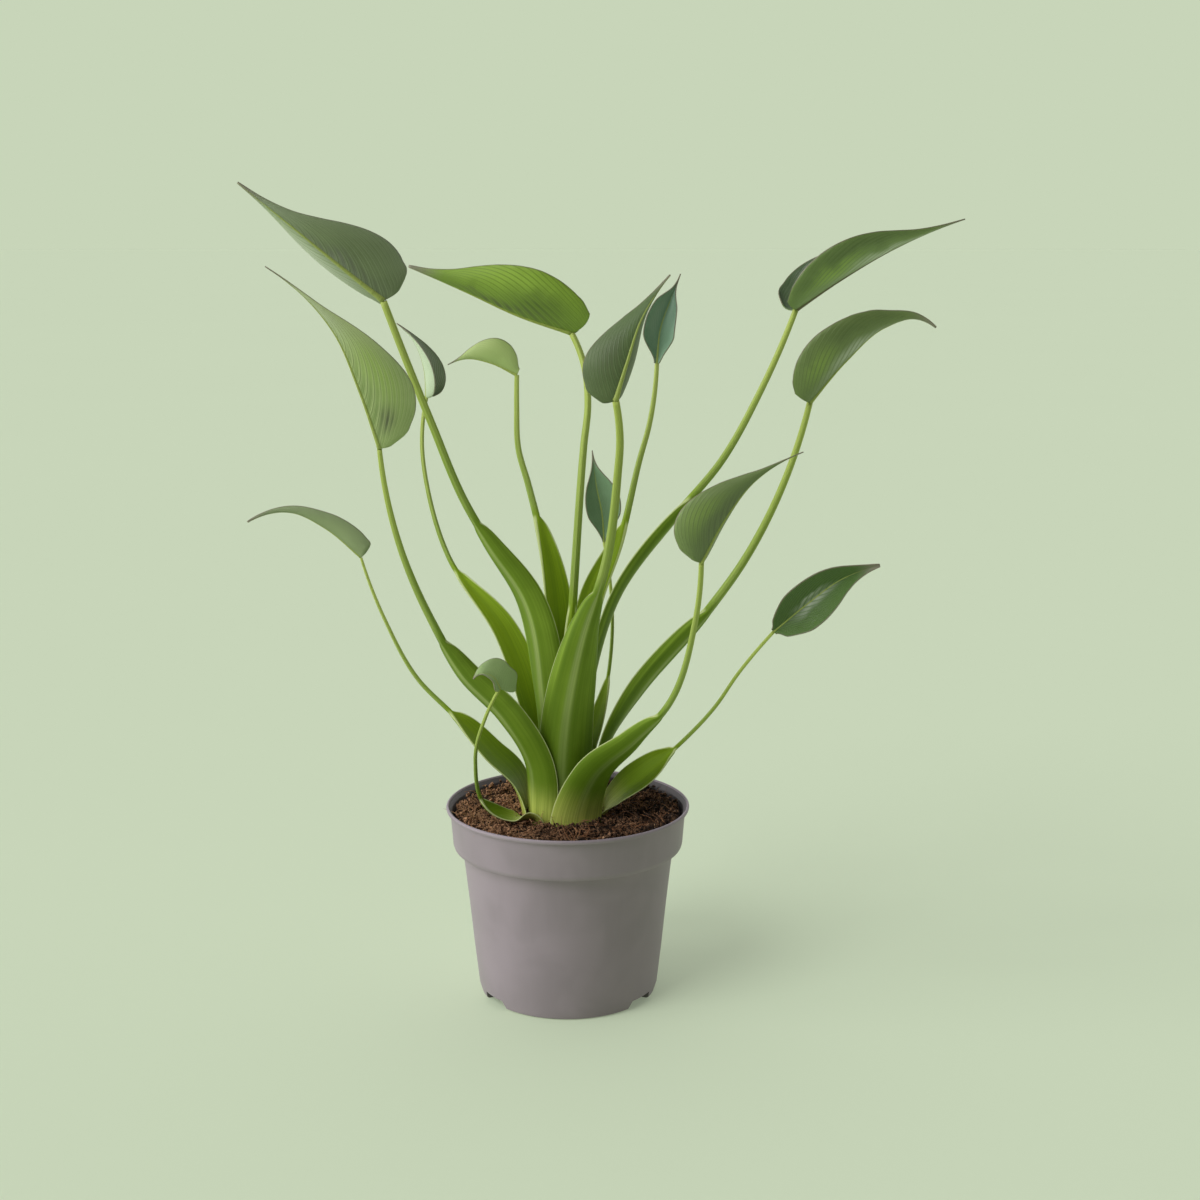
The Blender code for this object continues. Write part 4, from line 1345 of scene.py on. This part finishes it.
# %% Blade finish
def blade_skin(name, label, looks, rough):
    made, tree, shader = new_material(f"blade_{name}_{label}", rough, Specular_IOR_Level=0.5)
    share, along, from_edge = attributes(tree, BLADE_NOTES)
    across = calc(tree, "ABSOLUTE", share)
    lines = {"Share": share, "At": along}
    ridge, stripes, fine = (use(tree, veins, lines, out) for out in ("Veins", "Stripes", "Fine"))
    main, deep, pale = (srgb(*c) for c in looks[:3])
    left, right, to_tip, to_margin = looks[3:]
    # the paling towards the tip is a painted sheen
    near_tip = times(tree, ramp(tree, along, 0.25, 0.75), to_tip)
    near_margin = times(tree, ramp(tree, across, 0.25, 0.95), to_margin)
    tone = patchy(tree, 16.0)
    # the areas' edges are broken up by the same soft noise
    uneven = calc(tree, "ADD", share, calc(tree, "MULTIPLY_ADD", tone, 0.16, -0.08))
    areas = []
    for tint, middle, reach, start, length, strength in AREAS.get(name, ()):
        mask = times(tree, bump(tree, uneven, middle, reach), bump(tree, along, start, length))
        areas.append((mask, strength, tint))
    colour = layered(
        tree,
        main,
        (tone, 0.45, deep),
        (calc(tree, "MAXIMUM", near_tip, near_margin), 1.0, pale),
        (ramp(tree, across, 0.3, 0.04), 0.45, deep),
        *areas,
        (stripes, 0.4, pale),
        (fine, 0.42, deep),
        (ridge, 0.5, deep),
    )
    # the halves' brightness is partly painted light and shade
    left, right = ((level, level, level, 1.0) for level in (left, right))
    half = mixed(tree, ramp(tree, share, -0.02, 0.02), right, left)
    colour = layered(
        tree,
        mixed(tree, 1.0, colour, half, "MULTIPLY"),
        (ramp(tree, along, 0.78, 1.0), 1.0, TIP_GREY),
        (ramp(tree, across, 0.045, 0.02), 0.85, RIB_COLOURS.get(name, RIB_YELLOW)),
        (ramp(tree, from_edge, 0.5, 0.15), 0.8, MARGIN_BROWN),
    )
    height = calc(tree, "MULTIPLY_ADD", ridge, 1.0, times(tree, grained(tree, 0.7), 0.4))
    height = calc(tree, "MULTIPLY_ADD", fine, 0.35, height)
    linked(tree, shader, colour, height, 0.4, 0.0003)
    return made


# %% Blades
for name, spec in BLADES.items():
    outer_rough = GLOSSY if name in SHOWS_UPPER else MATTE
    skins = (
        blade_skin(name, "out", LEAF_LOOKS[name], outer_rough),
        blade_skin(name, "in", INSIDES.get(name, INSIDE_LOOKS), GLOSSY),
    )
    blade = make_blade(name, spec, STALKS[name]["rod"][1], skins)
    kept(blade, "leaf_blade", "blade_" + name)
